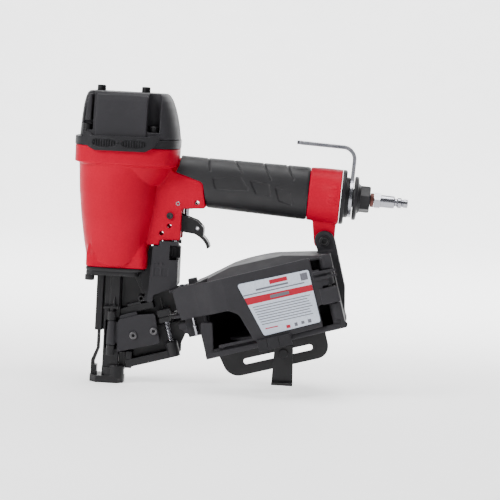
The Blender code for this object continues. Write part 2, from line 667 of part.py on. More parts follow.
def make_hook():
    """A steel strap bent over the handle from a ring that turns on the end cap."""
    thick, top, tip, bend = 3.4, 46.4, 97.0, 12.5
    rear = 151.6
    eye = ring("hook", 12.8, 17.6, rear - thick, rear, HANDLE, turn=REARWARD, steps=20)
    quarter = steps_of(0, math.pi / 2, 6)
    corners = []
    for radius in (bend, bend - thick):
        centre = (rear - bend, top - bend)
        corners.append([
            (centre[0] + radius * math.sin(t), centre[1] + radius * math.cos(t)) for t in quarter
        ])
    outer, inner = corners
    outline = [(tip, top), *outer, (rear, 14.6), (rear - thick, 14.6), *reversed(inner), (tip, top - thick)]
    strap = plate("strap", outline, -8, 8, HANDLE, turn=SIDEWAYS)
    join(eye, strap)
    cut(eye, rod("tip_hole", 2.2, 30, 60, HANDLE, at=(tip + 4.6, 0, 0), steps=16))
    return finish(eye, "steel")


# ---------------------------------------------------------------- nose
DOOR_LOW_W, DOOR_HIGH_W = -18.4, 11.5


def make_nose():
    """The nose casting that guides the blade, with the rails that the nail strip runs between."""
    nose = plate("nose_body", rectangle((-26.6, -26.6), (26.6, 26.6), 7), FLANGE_LOW, NOSE_TOP)
    column = box("column", (-7, -8, NOSE_LOW), (7, 8, FLANGE_LOW + 2))
    back = plate("back", rounded([
        (0, -34, 0), (50, -34, 3), (56, -30, 3), (56, 16, 3), (10, 30, 3), (0, 30, 0),
    ]), 2.5, 7.0, MAGAZINE, turn=SIDEWAYS)
    low_rail = box("low_rail", (6, -8, -34), (47, 4, -27), MAGAZINE)
    high_rail = box("high_rail", (9, -6, 13.5), (42.8, 4, 19.5), MAGAZINE)
    boss = rod("boss", 5.6, -33.5, -19.6, MAGAZINE, at=(LATCH_U + 1.2, -6, 0), steps=12)
    boss_foot = box("boss_foot", (44, -6, -33.5), (LATCH_U + 1.2, 4, -28), MAGAZINE)
    web = box("web", (-9.6, -1.6, 47), (-5, 1.6, FLANGE_LOW + 1))
    solids = [column, high_rail, boss_foot, boss, web]
    for low, high in [(57.4, 65.6), (25.4, 34.8)]:
        solids.append(rod("knuckle", 3.9, low, high, at=(PIN_X, PIN_Y, 0), steps=12))
        solids.append(box("bridge", (PIN_X - 3, PIN_Y + 1, low), (PIN_X + 3, -6, high)))
    solids.append(box("guide", (-15.6, -4.6, 46.5), (-9.2, 4.6, FLANGE_LOW + 1)))
    cut(join(back, low_rail), box("foot_way", (-20, -20, 0), (13.2, 20, FOOT_BOSS + ARM_TRAVEL + 1)))
    join(nose, back, *solids)
    cutters = [
        rod("channel", CHANNEL, 0, 110, steps=16),
        box("door_way", (-CHANNEL, -9, 31), (CHANNEL, 0, 56.8)),
        box("feed_way", (2, -9, -17.4), (14, 2.4, 12.5), MAGAZINE),
        rod("hinge_bore", 2.0, 10, 70, at=(PIN_X, PIN_Y, 0)),
        box("pawl_way", (16, 0, -4), (60, 12, 6), MAGAZINE),
        rod("latch_bore", 2.3, -31, 0, MAGAZINE, at=(LATCH_U + 1.2, -6, 0)),
        box("leg_way", (-13.7, -3.1, 40), (-10.1, 3.1, 90.6)),
    ]
    for x, y in NOSE_SCREWS:
        cutters.append(rod("hole", 2.9, 80, 112, at=(x, y, 0)))
    cut(nose, *cutters)
    finish(nose, "black_steel")
    for name, (x, y) in zip(["nose_screw_left", "nose_screw_right"], NOSE_SCREWS):
        make_screw(name, (x, y, 0), head=(93.2, FLANGE_LOW - GAP), tip=FOOT_LOW + 8)


def make_door():
    """The door that opens the nail channel, its hinge pin with a T-shaped head, and two rivets."""
    (x0, z0), (x1, z1) = (5.4, 28.8), (5.4, 56.4)
    right_low, right_high = magazine_point(41.6, DOOR_LOW_W), magazine_point(41.6, DOOR_HIGH_W)
    outline = rounded([(x0, z0, 1), (*right_low, 2), (*right_high, 2), (x1, z1, 1)])
    door = plate("nose_door", outline, -12.4, -8.4, turn=SIDEWAYS)
    knuckle = lathe("knuckle", [(0, 57.0), (3.4, 57.0), (4.2, 36.5), (4.2, 35.2), (0, 35.2)],
                    at=(PIN_X, PIN_Y, 0), steps=12)
    bridge = box("bridge", (PIN_X, PIN_Y + 0.2, 36.5), (7.5, -8.6, 55.5))
    join(door, join(bridge, knuckle))
    cut(door, rod("bore", 2.0, 20, 70, at=(PIN_X, PIN_Y, 0), steps=12))
    finish(door, "grey_plastic")
    pin = rod("door_hinge_pin", 1.7, 25.6, 70.0, at=(PIN_X, PIN_Y, 0), steps=12)
    bar = rod("bar", 1.75, -6.4, 6.4, at=(PIN_X - 1.4, PIN_Y, 68.8), turn=REARWARD, steps=12)
    finish(join(pin, bar), "black_steel")
    for name, x, z in [("door_rivet_front", 18.8, 44.0), ("door_rivet_rear", 37.4, 49.6)]:
        rivet = [(1.5, 14.4), (2.9, 14.4), (3.4, 13.9), (3.4, 12.4 + GAP), (1.5, 12.4 + GAP)]
        finish(lathe(name, rivet, at=(x, 0, z), turn=(math.pi / 2, 0, 0), steps=16), "black_steel")


def make_latch():
    """The sprung latch beside the door: a grip block on a pin that slides in the nose's boss."""
    at = (LATCH_U + 1.2, -6, 0)
    pin = rod("door_latch", 1.8, -26, 19, MAGAZINE, at=at, steps=12)
    block = box("block", (LATCH_U - 6.2, -15.6, 7.2), (LATCH_U + 5, -3.4, 13.0), MAGAZINE)
    lower = box("lower", (LATCH_U - 5.2, -14.8, 1.6), (LATCH_U + 4.6, -3.4, 6.0), MAGAZINE)
    neck = box("neck", (LATCH_U - 4, -13.6, 5), (LATCH_U + 4, -4, 8), MAGAZINE)
    finish(join(pin, join(block, join(neck, lower))), "black_steel")
    finish(coil("latch_spring", 3.1, 0.55, -19.2, 1.2, 5, MAGAZINE, at), "steel")


def make_contact_arm():
    """The foot that is pressed on the work, its link to the trigger and the depth wheel."""
    base = rounded([
        (-18.2, -6, 2), (-12, -12.9, 2), (7, -12.9, 2), (12.6, -7, 2), (12.6, 7, 2), (7, 12.9, 2),
        (-12, 12.9, 2), (-18.2, 6, 2),
    ])
    foot = plate("contact_foot", base, 0, 6.4)
    boss = plate("boss", squircle(1.6, 10.6, 12.6, 3.0, 20), 5, FOOT_BOSS)
    toe = box("toe", (-18.0, -4.2, 5), (-13.4, 4.2, 15))
    leg = plate("leg", [
        (-17.8, 12), (-14.6, 12), (-14.6, 18), (-10.6, 30), (-10.6, 80), (-13.2, 80), (-13.2, 30.6),
        (-17.8, 19),
    ], -2.7, 2.7, turn=SIDEWAYS)
    join(foot, boss, toe, leg)
    cut(foot, box("nose_way", (-7.6, -8.6, -2), (7.6, 8.6, 20)))
    finish(foot, "black_steel")

    edge = WHEEL_X + 3.9
    link = plate("contact_link", rounded([
        (-5.5, 2, 1), (6, 2, 1), (6, 56, 4), (30, 73, 4), (44, 84, 3), (edge, 88, 2), (edge, 115, 1),
        (44, 115, 1), (44, 95, 3), (24, 80, 4), (0, 66, 4), (-5.5, 60, 3),
    ]), 13.2, 15.2, turn=SIDEWAYS)
    shelf = box("shelf", (44, -5, 112.4), (edge, 14.5, 115))
    spring_seat = box("spring_seat", (33, -4.5, 90.4), (50.5, 14.5, 92.6))
    join(link, shelf, spring_seat)
    cut(link, rod("stud_hole", 2.9, 100, 120, at=(WHEEL_X, 0, 0)))
    finish(link, "black_steel")
    finish(coil("arm_spring", 3.2, 0.7, 92.9, 126.9, 4, at=(ARM_SPRING_X, 0, 0)), "steel")

    wheel = [(2.8, 127.0), (6.6, 127.0), (7.2, 126.4), (7.2, 116.0), (6.6, 115.4), (2.8, 115.4)]
    thumb = lathe("depth_wheel", wheel, at=(WHEEL_X, 0, 0), steps=16)
    flutes = []
    for i in range(8):
        angle = 2 * math.pi * i / 8
        spot = (WHEEL_X + 7.6 * math.cos(angle), 7.6 * math.sin(angle), 0)
        flutes.append(rod("flute", 1.2, 110, 130, at=spot, steps=6))
    cut(thumb, *flutes)
    finish(thumb, "black_plastic")
    trip = [(0, 142.0), (3.4, 142.0), (3.4, 139.8), (2.4, 139.0), (2.4, 104), (0, 104)]
    finish(lathe("trip_rod", trip, at=(WHEEL_X, 0, 0), steps=16), "steel")


GUARD = [
    (31.6, 75.2, 1), (36.6, 77.2, 1), (36.8, 82.4, 1), (48.2, 87.4, 1), (57.6, 90.4, 2), (57.6, 131.2, 1.5),
    (40.4, 131.2, 0.5), (40.4, 126.6, 0.5), (34.6, 126.6, 1),
]


def make_guard():
    """The moulded cover over the contact arm's upper end, open at the front."""
    guard = plate("arm_guard", rounded(GUARD), -17.6, 17.6, turn=SIDEWAYS)
    cut(guard, box("inside", (20, -15.8, 60), (55.8, 15.8, 140)))
    cut(guard, box("wheel_window", (49.5, -30, 114.6), (70, 30, 127.8)))
    cut(guard, box("wheel_way", (49.5, -9, 120), (70, 9, 140)))
    return finish(guard, "grey_plastic")


# ---------------------------------------------------------------- magazine
def drum_outline(inset=0.0, front=DRUM_FRONT_Y, count=14):
    """The drum's plan: half an ellipse on the far side, square on the side that the cover closes."""
    half_u, half_y = DRUM_HALF_U - inset, DRUM_HALF_Y - inset
    far = [(DRUM_U + half_u * math.cos(t), half_y * math.sin(t)) for t in steps_of(0, math.pi, count)]
    return [(DRUM_U - half_u, front), (DRUM_U + half_u, front), *far]


def make_magazine():
    """The fixed half of the coil canister, its throat, rear spine and the fork that bolts to the handle."""
    drum = plate("magazine_body", drum_outline(), DRUM_LOW, DRUM_HIGH, MAGAZINE)
    dome_rings = [
        [(u, y, DRUM_HIGH - 0.5) for u, y in drum_outline(0.6, front=-44.6)],
        [(DRUM_U + (u - DRUM_U) * 0.4 - 4, 4 + y * 0.64, DRUM_HIGH + 7.4) for u, y in drum_outline(2)],
    ]
    dome = loft("dome", dome_rings, MAGAZINE)
    throat = box("throat", (61, -24, 1.0), (100, 12.5, DRUM_HIGH - 1.5), MAGAZINE)
    inner = drum_outline(WALL, front=-70)
    join(drum, dome, throat)
    cut(
        drum,
        plate("coil_space", inner, DRUM_LOW + WALL, DRUM_HIGH - 1.8, MAGAZINE),
        box("strip_way", (50, -40, 3.6), (110, 9.8, DRUM_HIGH - 4.2), MAGAZINE),
        box("front_window", (80, -70, -15), (104, -12, 3.4), MAGAZINE),
        box("front_step", (40, -70, -50), (98, -24.4, 50), MAGAZINE),
        box("front_ledge", (97, -70, -50), (114, -44.8, 50), MAGAZINE),
        box("feed_gap", (50, 0, -2), (73, 20, 9.5), MAGAZINE),
    )
    cutters = [
        box("cover_seat", (HINGE_U - 14, -60, -40), (HINGE_U - 3.4, HINGE_Y + 1, 40), MAGAZINE),
        rod("pin_bore", 1.8, -28, 40, MAGAZINE, at=(HINGE_U, HINGE_Y, 0)),
        rod("screw_bore", 3.1, -30, 30, at=(LUG[0], 0, LUG[1]), turn=ACROSS),
        rod("clearance", 8.2, -13.4, 16, MAGAZINE, at=(HINGE_U, HINGE_Y, 0), steps=16),
    ]

    spine_outline = rounded([
        (201, -36, 0), (211, -36, 4), (209.5, -28, 4), (214.4, -6, 6), (214.6, 30, 6), (201, 30, 0),
    ])
    spine = plate("spine", spine_outline, -12.5, 12.5, MAGAZINE, turn=SIDEWAYS)
    au, aw = ARM_PIVOT
    fork_outline = rounded([
        (199, 20, 0), (214.5, 20, 0), (214.6, 30, 6), (au + 9, aw + 9, 8.9), (au - 9, aw + 9, 8.9),
        (198, 30, 4),
    ])
    fork = plate("fork", fork_outline, -11.4, 11.4, MAGAZINE, turn=SIDEWAYS)
    cut(fork, box("lug_way", (190, -6.5, 25.0), (225, 6.5, 60), MAGAZINE))
    cheek = box("cheek", (HINGE_U - 4.5, HINGE_Y - 1, DRUM_LOW), (209, -10, DRUM_HIGH - 1), MAGAZINE)
    solids = [spine, fork, cheek]
    for low, high in [(16, 30), (-29.5, -13.4)]:
        solids.append(rod("boss", 3.3, low, high, MAGAZINE, at=(HINGE_U, HINGE_Y, 0), steps=16))
    join(drum, *solids)
    cut(drum, *cutters)
    finish(drum, "grey_plastic")
    finish(rod("cover_hinge_pin", 1.5, -27.4, 30.4, MAGAZINE, at=(HINGE_U, HINGE_Y, 0), steps=12), "steel")
    bolt_at = (LUG[0], 0, LUG[1])
    bolt_head = (-15.4, -11.4 - GAP)
    make_screw("magazine_screw", bolt_at, head=bolt_head, tip=13.4, shank=2.7, radius=4.6, turn=ACROSS)


COVER = [
    (64.4, 26.0, 1.5), (72, 28.8, 3), (197, 30.2, 2), (197, -33.6, 3), (131, -33.6, 3),
    (126.6, -28, 3), (119.4, -5, 6), (111, 0.8, 6), (66.4, -0.8, 1),
]


def cover_path(inset):
    """The cover's plan, from the throat outwards to the flat panel and back to the hinge."""
    return rounded([
        (56, -28 + inset, 0), (84, -35 + inset, 9), (97, -48.4 + inset, 9), (112, -50.6 + inset, 9),
        (197, -50.6 + inset, 0), (197, -20, 0), (56, -20, 0),
    ], 4)


def make_cover():
    """The hinged cover of the canister, with knuckles at the rear and a latch under it."""
    cover = plate("magazine_cover", cover_path(0), -40, 36, MAGAZINE)
    keep(cover, plate("face", rounded(COVER), -60, -15, MAGAZINE, turn=SIDEWAYS))
    inside = rounded([
        (40, -24.8, 0), (83, -31.8, 9), (96, -45.2, 9), (112, -47.6, 9), (230, -47.6, 0), (230, 0, 0),
        (40, 0, 0),
    ], 4)
    cut(cover, plate("inside", inside, -50, 50, MAGAZINE))
    for low, high in [(3.6, 15.6), (-13.0, 1.4)]:
        knuckle = rod("knuckle", 4.6, low, high, MAGAZINE, at=(HINGE_U, HINGE_Y, 0), steps=12)
        bridge = box("bridge", (194, -50.4, low), (HINGE_U, HINGE_Y - 0.4, high), MAGAZINE)
        join(cover, join(bridge, knuckle))
    cut(cover, rod("bore", 1.8, -50, 50, MAGAZINE, at=(HINGE_U, HINGE_Y, 0), steps=12))
    finish(cover, "grey_plastic")
    latch = box("cover_latch", (130, -54.6, -40.4), (160, -50.9, -30.4), MAGAZINE)
    hook = box("hook", (134, -52.5, -40.0), (156, -44.6, -37.4), MAGAZINE)
    join(latch, hook)
    finish(latch, "black_plastic")
    label = box("label", (118.4, -51.3, -6.5), (186.4, -50.9, 23.5), MAGAZINE)
    finish(label, "label_paper")
    platform = [
        (0, -27.6), (44, -27.6), (44, -30.0), (8, -30.0), (8, -32.6), (0, -32.6),
    ]
    finish(lathe("nail_platform", platform, MAGAZINE, at=(DRUM_U, 3, 0), steps=20), "black_plastic")


def make_feed():
    """The air-driven feeder on the far side of the nose, which pulls the strip on by one nail."""
    at = (0, 24, 0)
    body = [
        (3.6, 54), (13, 54), (13, 20), (12, 18.5), (3.2, 18.5), (3.2, 21), (10.6, 21), (10.6, 51.5),
        (3.6, 51.5),
    ]
    finish(lathe("feed_cylinder", body, MAGAZINE, at, REARWARD), "black_steel")
    piston = [(0, 64), (3.2, 64), (3.2, 42), (10.3, 42), (10.3, 36), (2.8, 36), (2.8, 14), (0, 14)]
    feed = lathe("feed_piston", piston, MAGAZINE, at, REARWARD)
    pivot = (*PAWL_PIVOT, 0)
    join(
        feed,
        box("head", (57.5, 10.4, -1.4), (64, 24, 4.5), MAGAZINE),
        box("lug", (58.4, 5.2, -1.4), (63.4, 10.7, 0.3), MAGAZINE),
        rod("pivot", 1.2, 0, 4.2, MAGAZINE, at=pivot),
    )
    finish(feed, "steel")
    pawl = rounded([
        (63.4, 9.2, 1), (58.2, 9.2, 1), (47.0, 2.2, 0.4), (50.0, 0.6, 0.4), (63.4, 5.2, 1),
    ])
    tooth = plate("feed_pawl", pawl, 0.6, 3.0, MAGAZINE)
    cut(tooth, rod("eye", 1.5, -2, 6, MAGAZINE, at=pivot))
    finish(tooth, "steel")


def make_gauge():
    """The shingle gauge: a slotted plate under the magazine and a strap that slides along it."""
    outline = rounded([
        (92, -36.6, 0), (189.5, -36.6, 0), (189.5, -60.5, 12), (97, -60.5, 14),
    ], 5)
    hole = slot(112.6, 175.4, GAUGE_SLOT_W, 2.6)
    bracket = plate("gauge_plate", outline, GAUGE_Y - 1.2, GAUGE_Y + 1.2, MAGAZINE, SIDEWAYS, [hole])
    join(bracket, box("flange", (100, GAUGE_Y - 1.0, -39.0), (182, GAUGE_Y + 22, -36.6), MAGAZINE))
    for u in (110, 172):
        cut(bracket, rod("hole", 2.3, -50, -30, MAGAZINE, at=(u, GAUGE_Y + 14, 0), steps=12))
    finish(bracket, "black_steel")
    x, z = magazine_point(GAUGE_SCREW_U, GAUGE_SLOT_W)
    near, far = GAUGE_Y - 3.4, GAUGE_Y - 1.2 - GAP
    face = rounded([(x - 8.2, z + 7.0, 2), (x - 9.4, 12.8, 0), (x + 9.4, 12.8, 0), (x + 8.2, z + 7.0, 2)])
    strap = plate("gauge_strap", face, near, far, turn=SIDEWAYS)
    join(strap, box("toe", (x - 9.4, near - 6.5, 11.0), (x + 9.4, far, 13.2)))
    cut(strap, rod("hole", 2.5, -60, 0, at=(x, 0, z), turn=ACROSS, steps=12))
    finish(strap, "black_steel")
    screw_head = (near - 3.2, near - GAP)
    make_screw(
        "gauge_screw", (x, 0, z), head=screw_head, tip=GAUGE_Y + 8, shank=2.2, radius=4.6, turn=ACROSS,
    )
    knob = [(2.5, 6.6), (6.8, 6.6), (7.6, 5.6), (7.6, 1.2 + GAP), (2.5, 1.2 + GAP)]
    wheel = lathe("gauge_knob", knob, at=(x, GAUGE_Y, z), turn=ACROSS, steps=14)
    finish(wheel, "black_plastic")


# ---------------------------------------------------------------- assembly
clear_scene()
PARTS = bpy.data.collections.new("coil_roofing_nailer")
bpy.context.scene.collection.children.link(PARTS)
make_materials()
BASE = make_frame("base", (0, 0), 0)
BASE.location = (-BOX_CENTRE[0] * MM, -BOX_CENTRE[1] * MM, 0)
HANDLE = make_frame("handle_frame", HANDLE_ORIGIN, HANDLE_SLOPE)
MAGAZINE = make_frame("magazine_frame", MAGAZINE_ORIGIN, MAGAZINE_SLOPE)

make_housing()
make_grip()
make_head()
make_drive()
make_trigger_valve()
make_trigger()
make_handle_end()
make_nose()
make_door()
make_latch()
make_contact_arm()
make_guard()
make_magazine()
make_cover()
make_feed()
make_gauge()

for piece in PARTS.objects:
    if piece is not BASE and piece.parent is None:
        piece.parent = BASE
bpy.context.view_layer.update()
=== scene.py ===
"""The coil roofing nailer as it looks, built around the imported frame.

Shapes are in millimetres in the working frame: +Z up the driver's axis, +X to the rear of the handle, +Y
away from the magazine's cover.  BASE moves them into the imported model's frame, in metres.  The handle and
the magazine have tilted frames of their own.  Each new piece rides on the body of the node it stands for.
"""

import json
import math

import bmesh
import bpy
from mathutils import Matrix, Vector


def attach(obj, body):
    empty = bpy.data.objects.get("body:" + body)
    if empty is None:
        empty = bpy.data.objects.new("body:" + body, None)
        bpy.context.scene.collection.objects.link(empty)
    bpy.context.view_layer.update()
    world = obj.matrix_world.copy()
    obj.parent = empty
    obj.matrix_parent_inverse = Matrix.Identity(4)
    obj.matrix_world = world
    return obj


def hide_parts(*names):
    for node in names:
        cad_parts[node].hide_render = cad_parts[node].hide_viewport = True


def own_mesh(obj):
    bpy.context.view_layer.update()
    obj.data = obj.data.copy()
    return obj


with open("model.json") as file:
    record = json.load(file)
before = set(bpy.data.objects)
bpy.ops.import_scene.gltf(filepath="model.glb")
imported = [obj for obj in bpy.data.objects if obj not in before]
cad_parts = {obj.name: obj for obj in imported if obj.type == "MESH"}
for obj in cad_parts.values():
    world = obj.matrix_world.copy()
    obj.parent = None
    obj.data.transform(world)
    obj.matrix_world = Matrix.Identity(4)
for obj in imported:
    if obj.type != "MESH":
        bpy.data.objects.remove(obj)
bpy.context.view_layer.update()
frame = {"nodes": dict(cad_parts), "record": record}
BODY_OF = {n: body for body, members in frame["record"]["behaviour"]["bodies"].items() for n in members}

MM = 0.001
GAP = 0.3
BASE = Matrix.Translation((-0.109716, -0.0012, 0)) @ Matrix.Scale(MM, 4)


def tilted(x, z, slope):
    """A frame at (x, z), turned about Y by a slope in degrees."""
    return BASE @ Matrix.Translation((x, 0, z)) @ Matrix.Rotation(math.radians(slope), 4, "Y")


MAGAZINE_Z, MAGAZINE_SLOPE = 45, 16
HANDLE = tilted(58.5, 185.9, 2.85)
MAGAZINE = tilted(0, MAGAZINE_Z, -MAGAZINE_SLOPE)

# Orientations: how an outline or a turned axis lies in its frame.
UPRIGHT = Matrix.Identity(4)
SIDEWAYS = Matrix.Rotation(math.pi / 2, 4, "X")  # an outline's y is z, and a turned axis points along -Y
REARWARD = Matrix.Rotation(math.pi / 2, 4, "Y")
ACROSS = Matrix.Rotation(-math.pi / 2, 4, "X")

# Barrel and head
BARREL = [(108, 26.6), (127, 30.6), (149, 34.0), (172, 36.6), (203, 38.4)]
BARREL_X, FOOT_X = 1.2, 2.4
FOOT_LOW, BORE_FLOOR, BASE_CORNER = 105.5, 110.0, 7.0
HEAD_X, HEAD_HALF_X, HEAD_HALF_Y, HEAD_POWER = 6.6, 46.6, 40.0, 3.2
COLLAR_LOW, COLLAR_HIGH, BAND_HIGH, CAP_HIGH = 199.0, 214.0, 221.7, 262.2
BORE_LOW, BORE_HIGH, CAVITY_HIGH = 25.0, 31.0, 250.0
CAP_SCREWS = [(-28.0, -28.0), (31.0, -28.0), (-28.0, 28.0), (31.0, 28.0)]
COVER_SCREWS = [-20.0, 20.0]
RECESS = 5.6
SOCKET = 2.5
NOSE_SCREWS = [(-20.5, -20.5), (-20.5, 20.5)]
BLADE_RADIUS, BLADE_TIP, PISTON_LOW, CHANNEL = 2.8, 62.0, 188.0, 5.25

# Handle
CORE_HALF_Y, CORE_HALF_Z = 14.6, 19.6
GRIP_END, HANDLE_END, END_RADIUS = 112.0, 141.0, 24.4
MARK_U = 134.2
VALVE_X = 62.0
TRIGGER_PIVOT = (48.2, 154.2)
TRIP_PIN = (72.9, 0, 143.8)
EAR_HOLES = [(71.8, 167.0), (48.0, 145.0), (41.3, 138.0)]
LUG_X, LUG_Z = 187.1, 139.3
LUG_BOLT = (LUG_X, 0, LUG_Z)

# Nose
NOSE_TOP, FLANGE_LOW, NOSE_LOW, FOOT_BOSS, ARM_TRAVEL = 105.2, 98.5, 7.2, 16.0, 7.0
PIN_X, PIN_Y, LATCH_U = 0.3, -12.5, 50.7
DOOR_PIN = (PIN_X, PIN_Y, 0)
WHEEL_X, ARM_SPRING_X = 51.5, 37.0

# Magazine, in its own frame
DRUM_U, DRUM_HALF_U, DRUM_HALF_Y, DRUM_FRONT_Y = 147.0, 62.0, 57.0, -47.0
DRUM_LOW, DRUM_HIGH, WALL = -36.0, 28.5, 2.8
HINGE_U, HINGE_Y = 203.0, -44.0
COVER_PIN = (HINGE_U, HINGE_Y, 0)
ARM_PIVOT = (205.8, 39.0)
PAWL_PIVOT = (60.9, 7.2)
GAUGE_Y, GAUGE_SLOT_W, GAUGE_SCREW_U = -30.0, -49.0, 149.1
LABEL_Y = -50.9
PRINT_HIGH, PRINT_LOW = LABEL_Y - 0.38, LABEL_Y - 0.2


# ---------------------------------------------------------------- shape helpers
def solid(name, points, faces, where=BASE, at=(0, 0, 0), turn=UPRIGHT):
    """A mesh object from points in a frame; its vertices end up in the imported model's own frame."""
    mesh = bpy.data.meshes.new(name)
    mesh.from_pydata(points, [], faces)
    mesh.transform(where @ Matrix.Translation(at) @ turn)
    work = bmesh.new()
    work.from_mesh(mesh)
    bmesh.ops.recalc_face_normals(work, faces=work.faces)
    work.to_mesh(mesh)
    work.free()
    obj = bpy.data.objects.new(name, mesh)
    bpy.context.scene.collection.objects.link(obj)
    return obj


def lathe(name, profile, where=BASE, at=(0, 0, 0), turn=UPRIGHT, steps=72):
    """A turned solid from (radius, height) points; one that starts off the axis closes on itself."""
    points, faces, rings = [], [], []
    for radius, height in profile:
        if radius == 0:
            rings.append([len(points)] * steps)
            points.append((0, 0, height))
            continue
        rings.append(list(range(len(points), len(points) + steps)))
        points += circle_ring(radius, height, steps)
    if profile[0][0] > 0:
        rings.append(rings[0])
    for upper, lower in zip(rings, rings[1:]):
        for i in range(steps):
            corners = [upper[i], upper[(i + 1) % steps], lower[(i + 1) % steps], lower[i]]
            face = list(dict.fromkeys(corners))
            if len(face) > 2:
                faces.append(face)
    return solid(name, points, faces, where, at, turn)


def rod(name, radius, low, high, where=BASE, at=(0, 0, 0), turn=UPRIGHT, steps=40):
    """A round bar along its own axis."""
    return loft(name, [circle_ring(radius, low, steps), circle_ring(radius, high, steps)], where, at, turn)


def circle_ring(radius, height, steps):
    """A circle's points at one height."""
    return [(x, y, height) for x, y in circle(0, 0, radius, steps)]


def ring(name, inner, outer, low, high, where=BASE, at=(0, 0, 0), turn=UPRIGHT):
    """A plain collar or washer."""
    return lathe(name, [(inner, high), (outer, high), (outer, low), (inner, low)], where, at, turn)


def loft(name, rings, where=BASE, at=(0, 0, 0), turn=UPRIGHT):
    """A closed skin through rings of points, all with the same count, capped at both ends."""
    count = len(rings[0])
    points = [point for row in rings for point in row]
    faces = []
    for row in range(len(rings) - 1):
        for i in range(count):
            here, after = row * count + i, row * count + (i + 1) % count
            faces.append((here, after, after + count, here + count))
    faces.append(tuple(range(count)))
    faces.append(tuple(range((len(rings) - 1) * count, len(rings) * count)))
    return solid(name, points, faces, where, at, turn)


def plate(name, outline, low, high, where=BASE, turn=UPRIGHT):
    """A flat outline that fills the thickness from low to high, in y where it lies sideways."""
    if turn is SIDEWAYS:
        low, high = -high, -low
    rings = [[(x, y, height) for x, y in outline] for height in (low, high)]
    return loft(name, rings, where, (0, 0, 0), turn)


def side_plate(name, outline, low, high, where=BASE):
    """A plate drawn as seen from the cover's side, which fills the depth from y = low to y = high."""
    return plate(name, outline, low, high, where, SIDEWAYS)


def box(name, low, high, where=BASE):
    """A block between two opposite corners."""
    (x0, y0, z0), (x1, y1, z1) = low, high
    return plate(name, [(x0, y0), (x1, y0), (x1, y1), (x0, y1)], z0, z1, where)


def wire(name, points, radius, where, at):
    """A round bar bent through a list of points."""
    curve = bpy.data.curves.new(name, "CURVE")
    curve.dimensions = "3D"
    curve.bevel_depth = radius
    curve.bevel_resolution = 3
    curve.use_fill_caps = True
    spline = curve.splines.new("POLY")
    spline.points.add(len(points) - 1)
    for point, place in zip(spline.points, points):
        point.co = (*place, 1)
    source = bpy.data.objects.new(name, curve)
    mesh = bpy.data.meshes.new_from_object(source)
    mesh.transform(where @ Matrix.Translation(at))
    bpy.data.objects.remove(source)
    obj = bpy.data.objects.new(name, mesh)
    bpy.context.scene.collection.objects.link(obj)
    return obj


def coil(name, radius, gauge, low, high, turns, where, at):
    """A compression spring whose end turns lie closed."""
    per_turn = 28
    count = turns * per_turn
    end_climb = 2.3 * gauge
    middle_climb = high - low - 2 * gauge - 2 * end_climb
    points = []
    for i in range(count + 1):
        first = min(i, per_turn) / per_turn
        last = max(0, i - count + per_turn) / per_turn
        middle = min(max(i - per_turn, 0), count - 2 * per_turn) / (count - 2 * per_turn)
        height = low + gauge + end_climb * (first + last) + middle_climb * middle
        angle = 2 * math.pi * i / per_turn
        points.append((radius * math.cos(angle), radius * math.sin(angle), height))
    return wire(name, points, gauge, where, at)


def combine(obj, operation, others):
    """Joins other solids to obj, or cuts them from it, in one step, and removes them."""
    group = bpy.data.collections.new(operation)
    for other in others:
        group.objects.link(other)
    modifier = obj.modifiers.new(operation, "BOOLEAN")
    modifier.operation = operation
    modifier.solver = "EXACT"
    modifier.operand_type = "COLLECTION"
    modifier.collection = group
    settle(obj)
    work = bmesh.new()
    work.from_mesh(obj.data)
    bmesh.ops.remove_doubles(work, verts=work.verts, dist=0.0000004)
    bmesh.ops.dissolve_degenerate(work, edges=work.edges, dist=0.0000004)
    work.to_mesh(obj.data)
    work.free()
    bpy.data.collections.remove(group)
    for other in others:
        bpy.data.objects.remove(other)
    return obj


def settle(obj):
    """Applies an object's modifiers to its mesh."""
    bpy.context.view_layer.update()
    evaluated = obj.evaluated_get(bpy.context.evaluated_depsgraph_get())
    mesh = bpy.data.meshes.new_from_object(evaluated)
    obj.modifiers.clear()
    obj.data = mesh
    return obj


def join(obj, *others):
    """Adds the others to obj."""
    return combine(obj, "UNION", others)


def cut(obj, *others):
    """Takes the others away from obj."""
    return combine(obj, "DIFFERENCE", others)


def keep(obj, *others):
    """Leaves what obj has in common with the others."""
    return combine(obj, "INTERSECT", others)


def cast(obj, voxel=0.7, rounds=5, share=0.4):
    """Gives a casting or moulding the small radii that all its edges have."""
    remesh = obj.modifiers.new("voxels", "REMESH")
    remesh.mode = "VOXEL"
    remesh.voxel_size = voxel * MM
    soften = obj.modifiers.new("radii", "SMOOTH")
    soften.factor = 0.5
    soften.iterations = rounds
    thin = obj.modifiers.new("thin", "DECIMATE")
    thin.ratio = share
    settle(obj)
    obj.data.shade_smooth()
    return obj


def edged(obj, width=0.4, segments=2, angle=32):
    """Breaks the sharp edges of a machined or pressed piece."""
    bevel = obj.modifiers.new("edges", "BEVEL")
    bevel.width = width * MM
    bevel.segments = segments
    bevel.limit_method = "ANGLE"
    bevel.angle_limit = math.radians(angle)
    settle(obj)
    obj.data.shade_smooth()
    obj.data.set_sharp_from_angle(angle=math.radians(40))
    even = obj.modifiers.new("even", "WEIGHTED_NORMAL")
    even.keep_sharp = True
    return settle(obj)


def show(obj, material, *nodes, **options):
    """Names a finished piece, and gives it its material and the body it rides on."""
    obj.name = options.get("name", f"{nodes[0]}_visual")
    obj.data.materials.clear()
    obj.data.materials.append(MATERIALS[material])
    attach(obj, BODY_OF[nodes[0]])
    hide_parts(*nodes)
    return obj


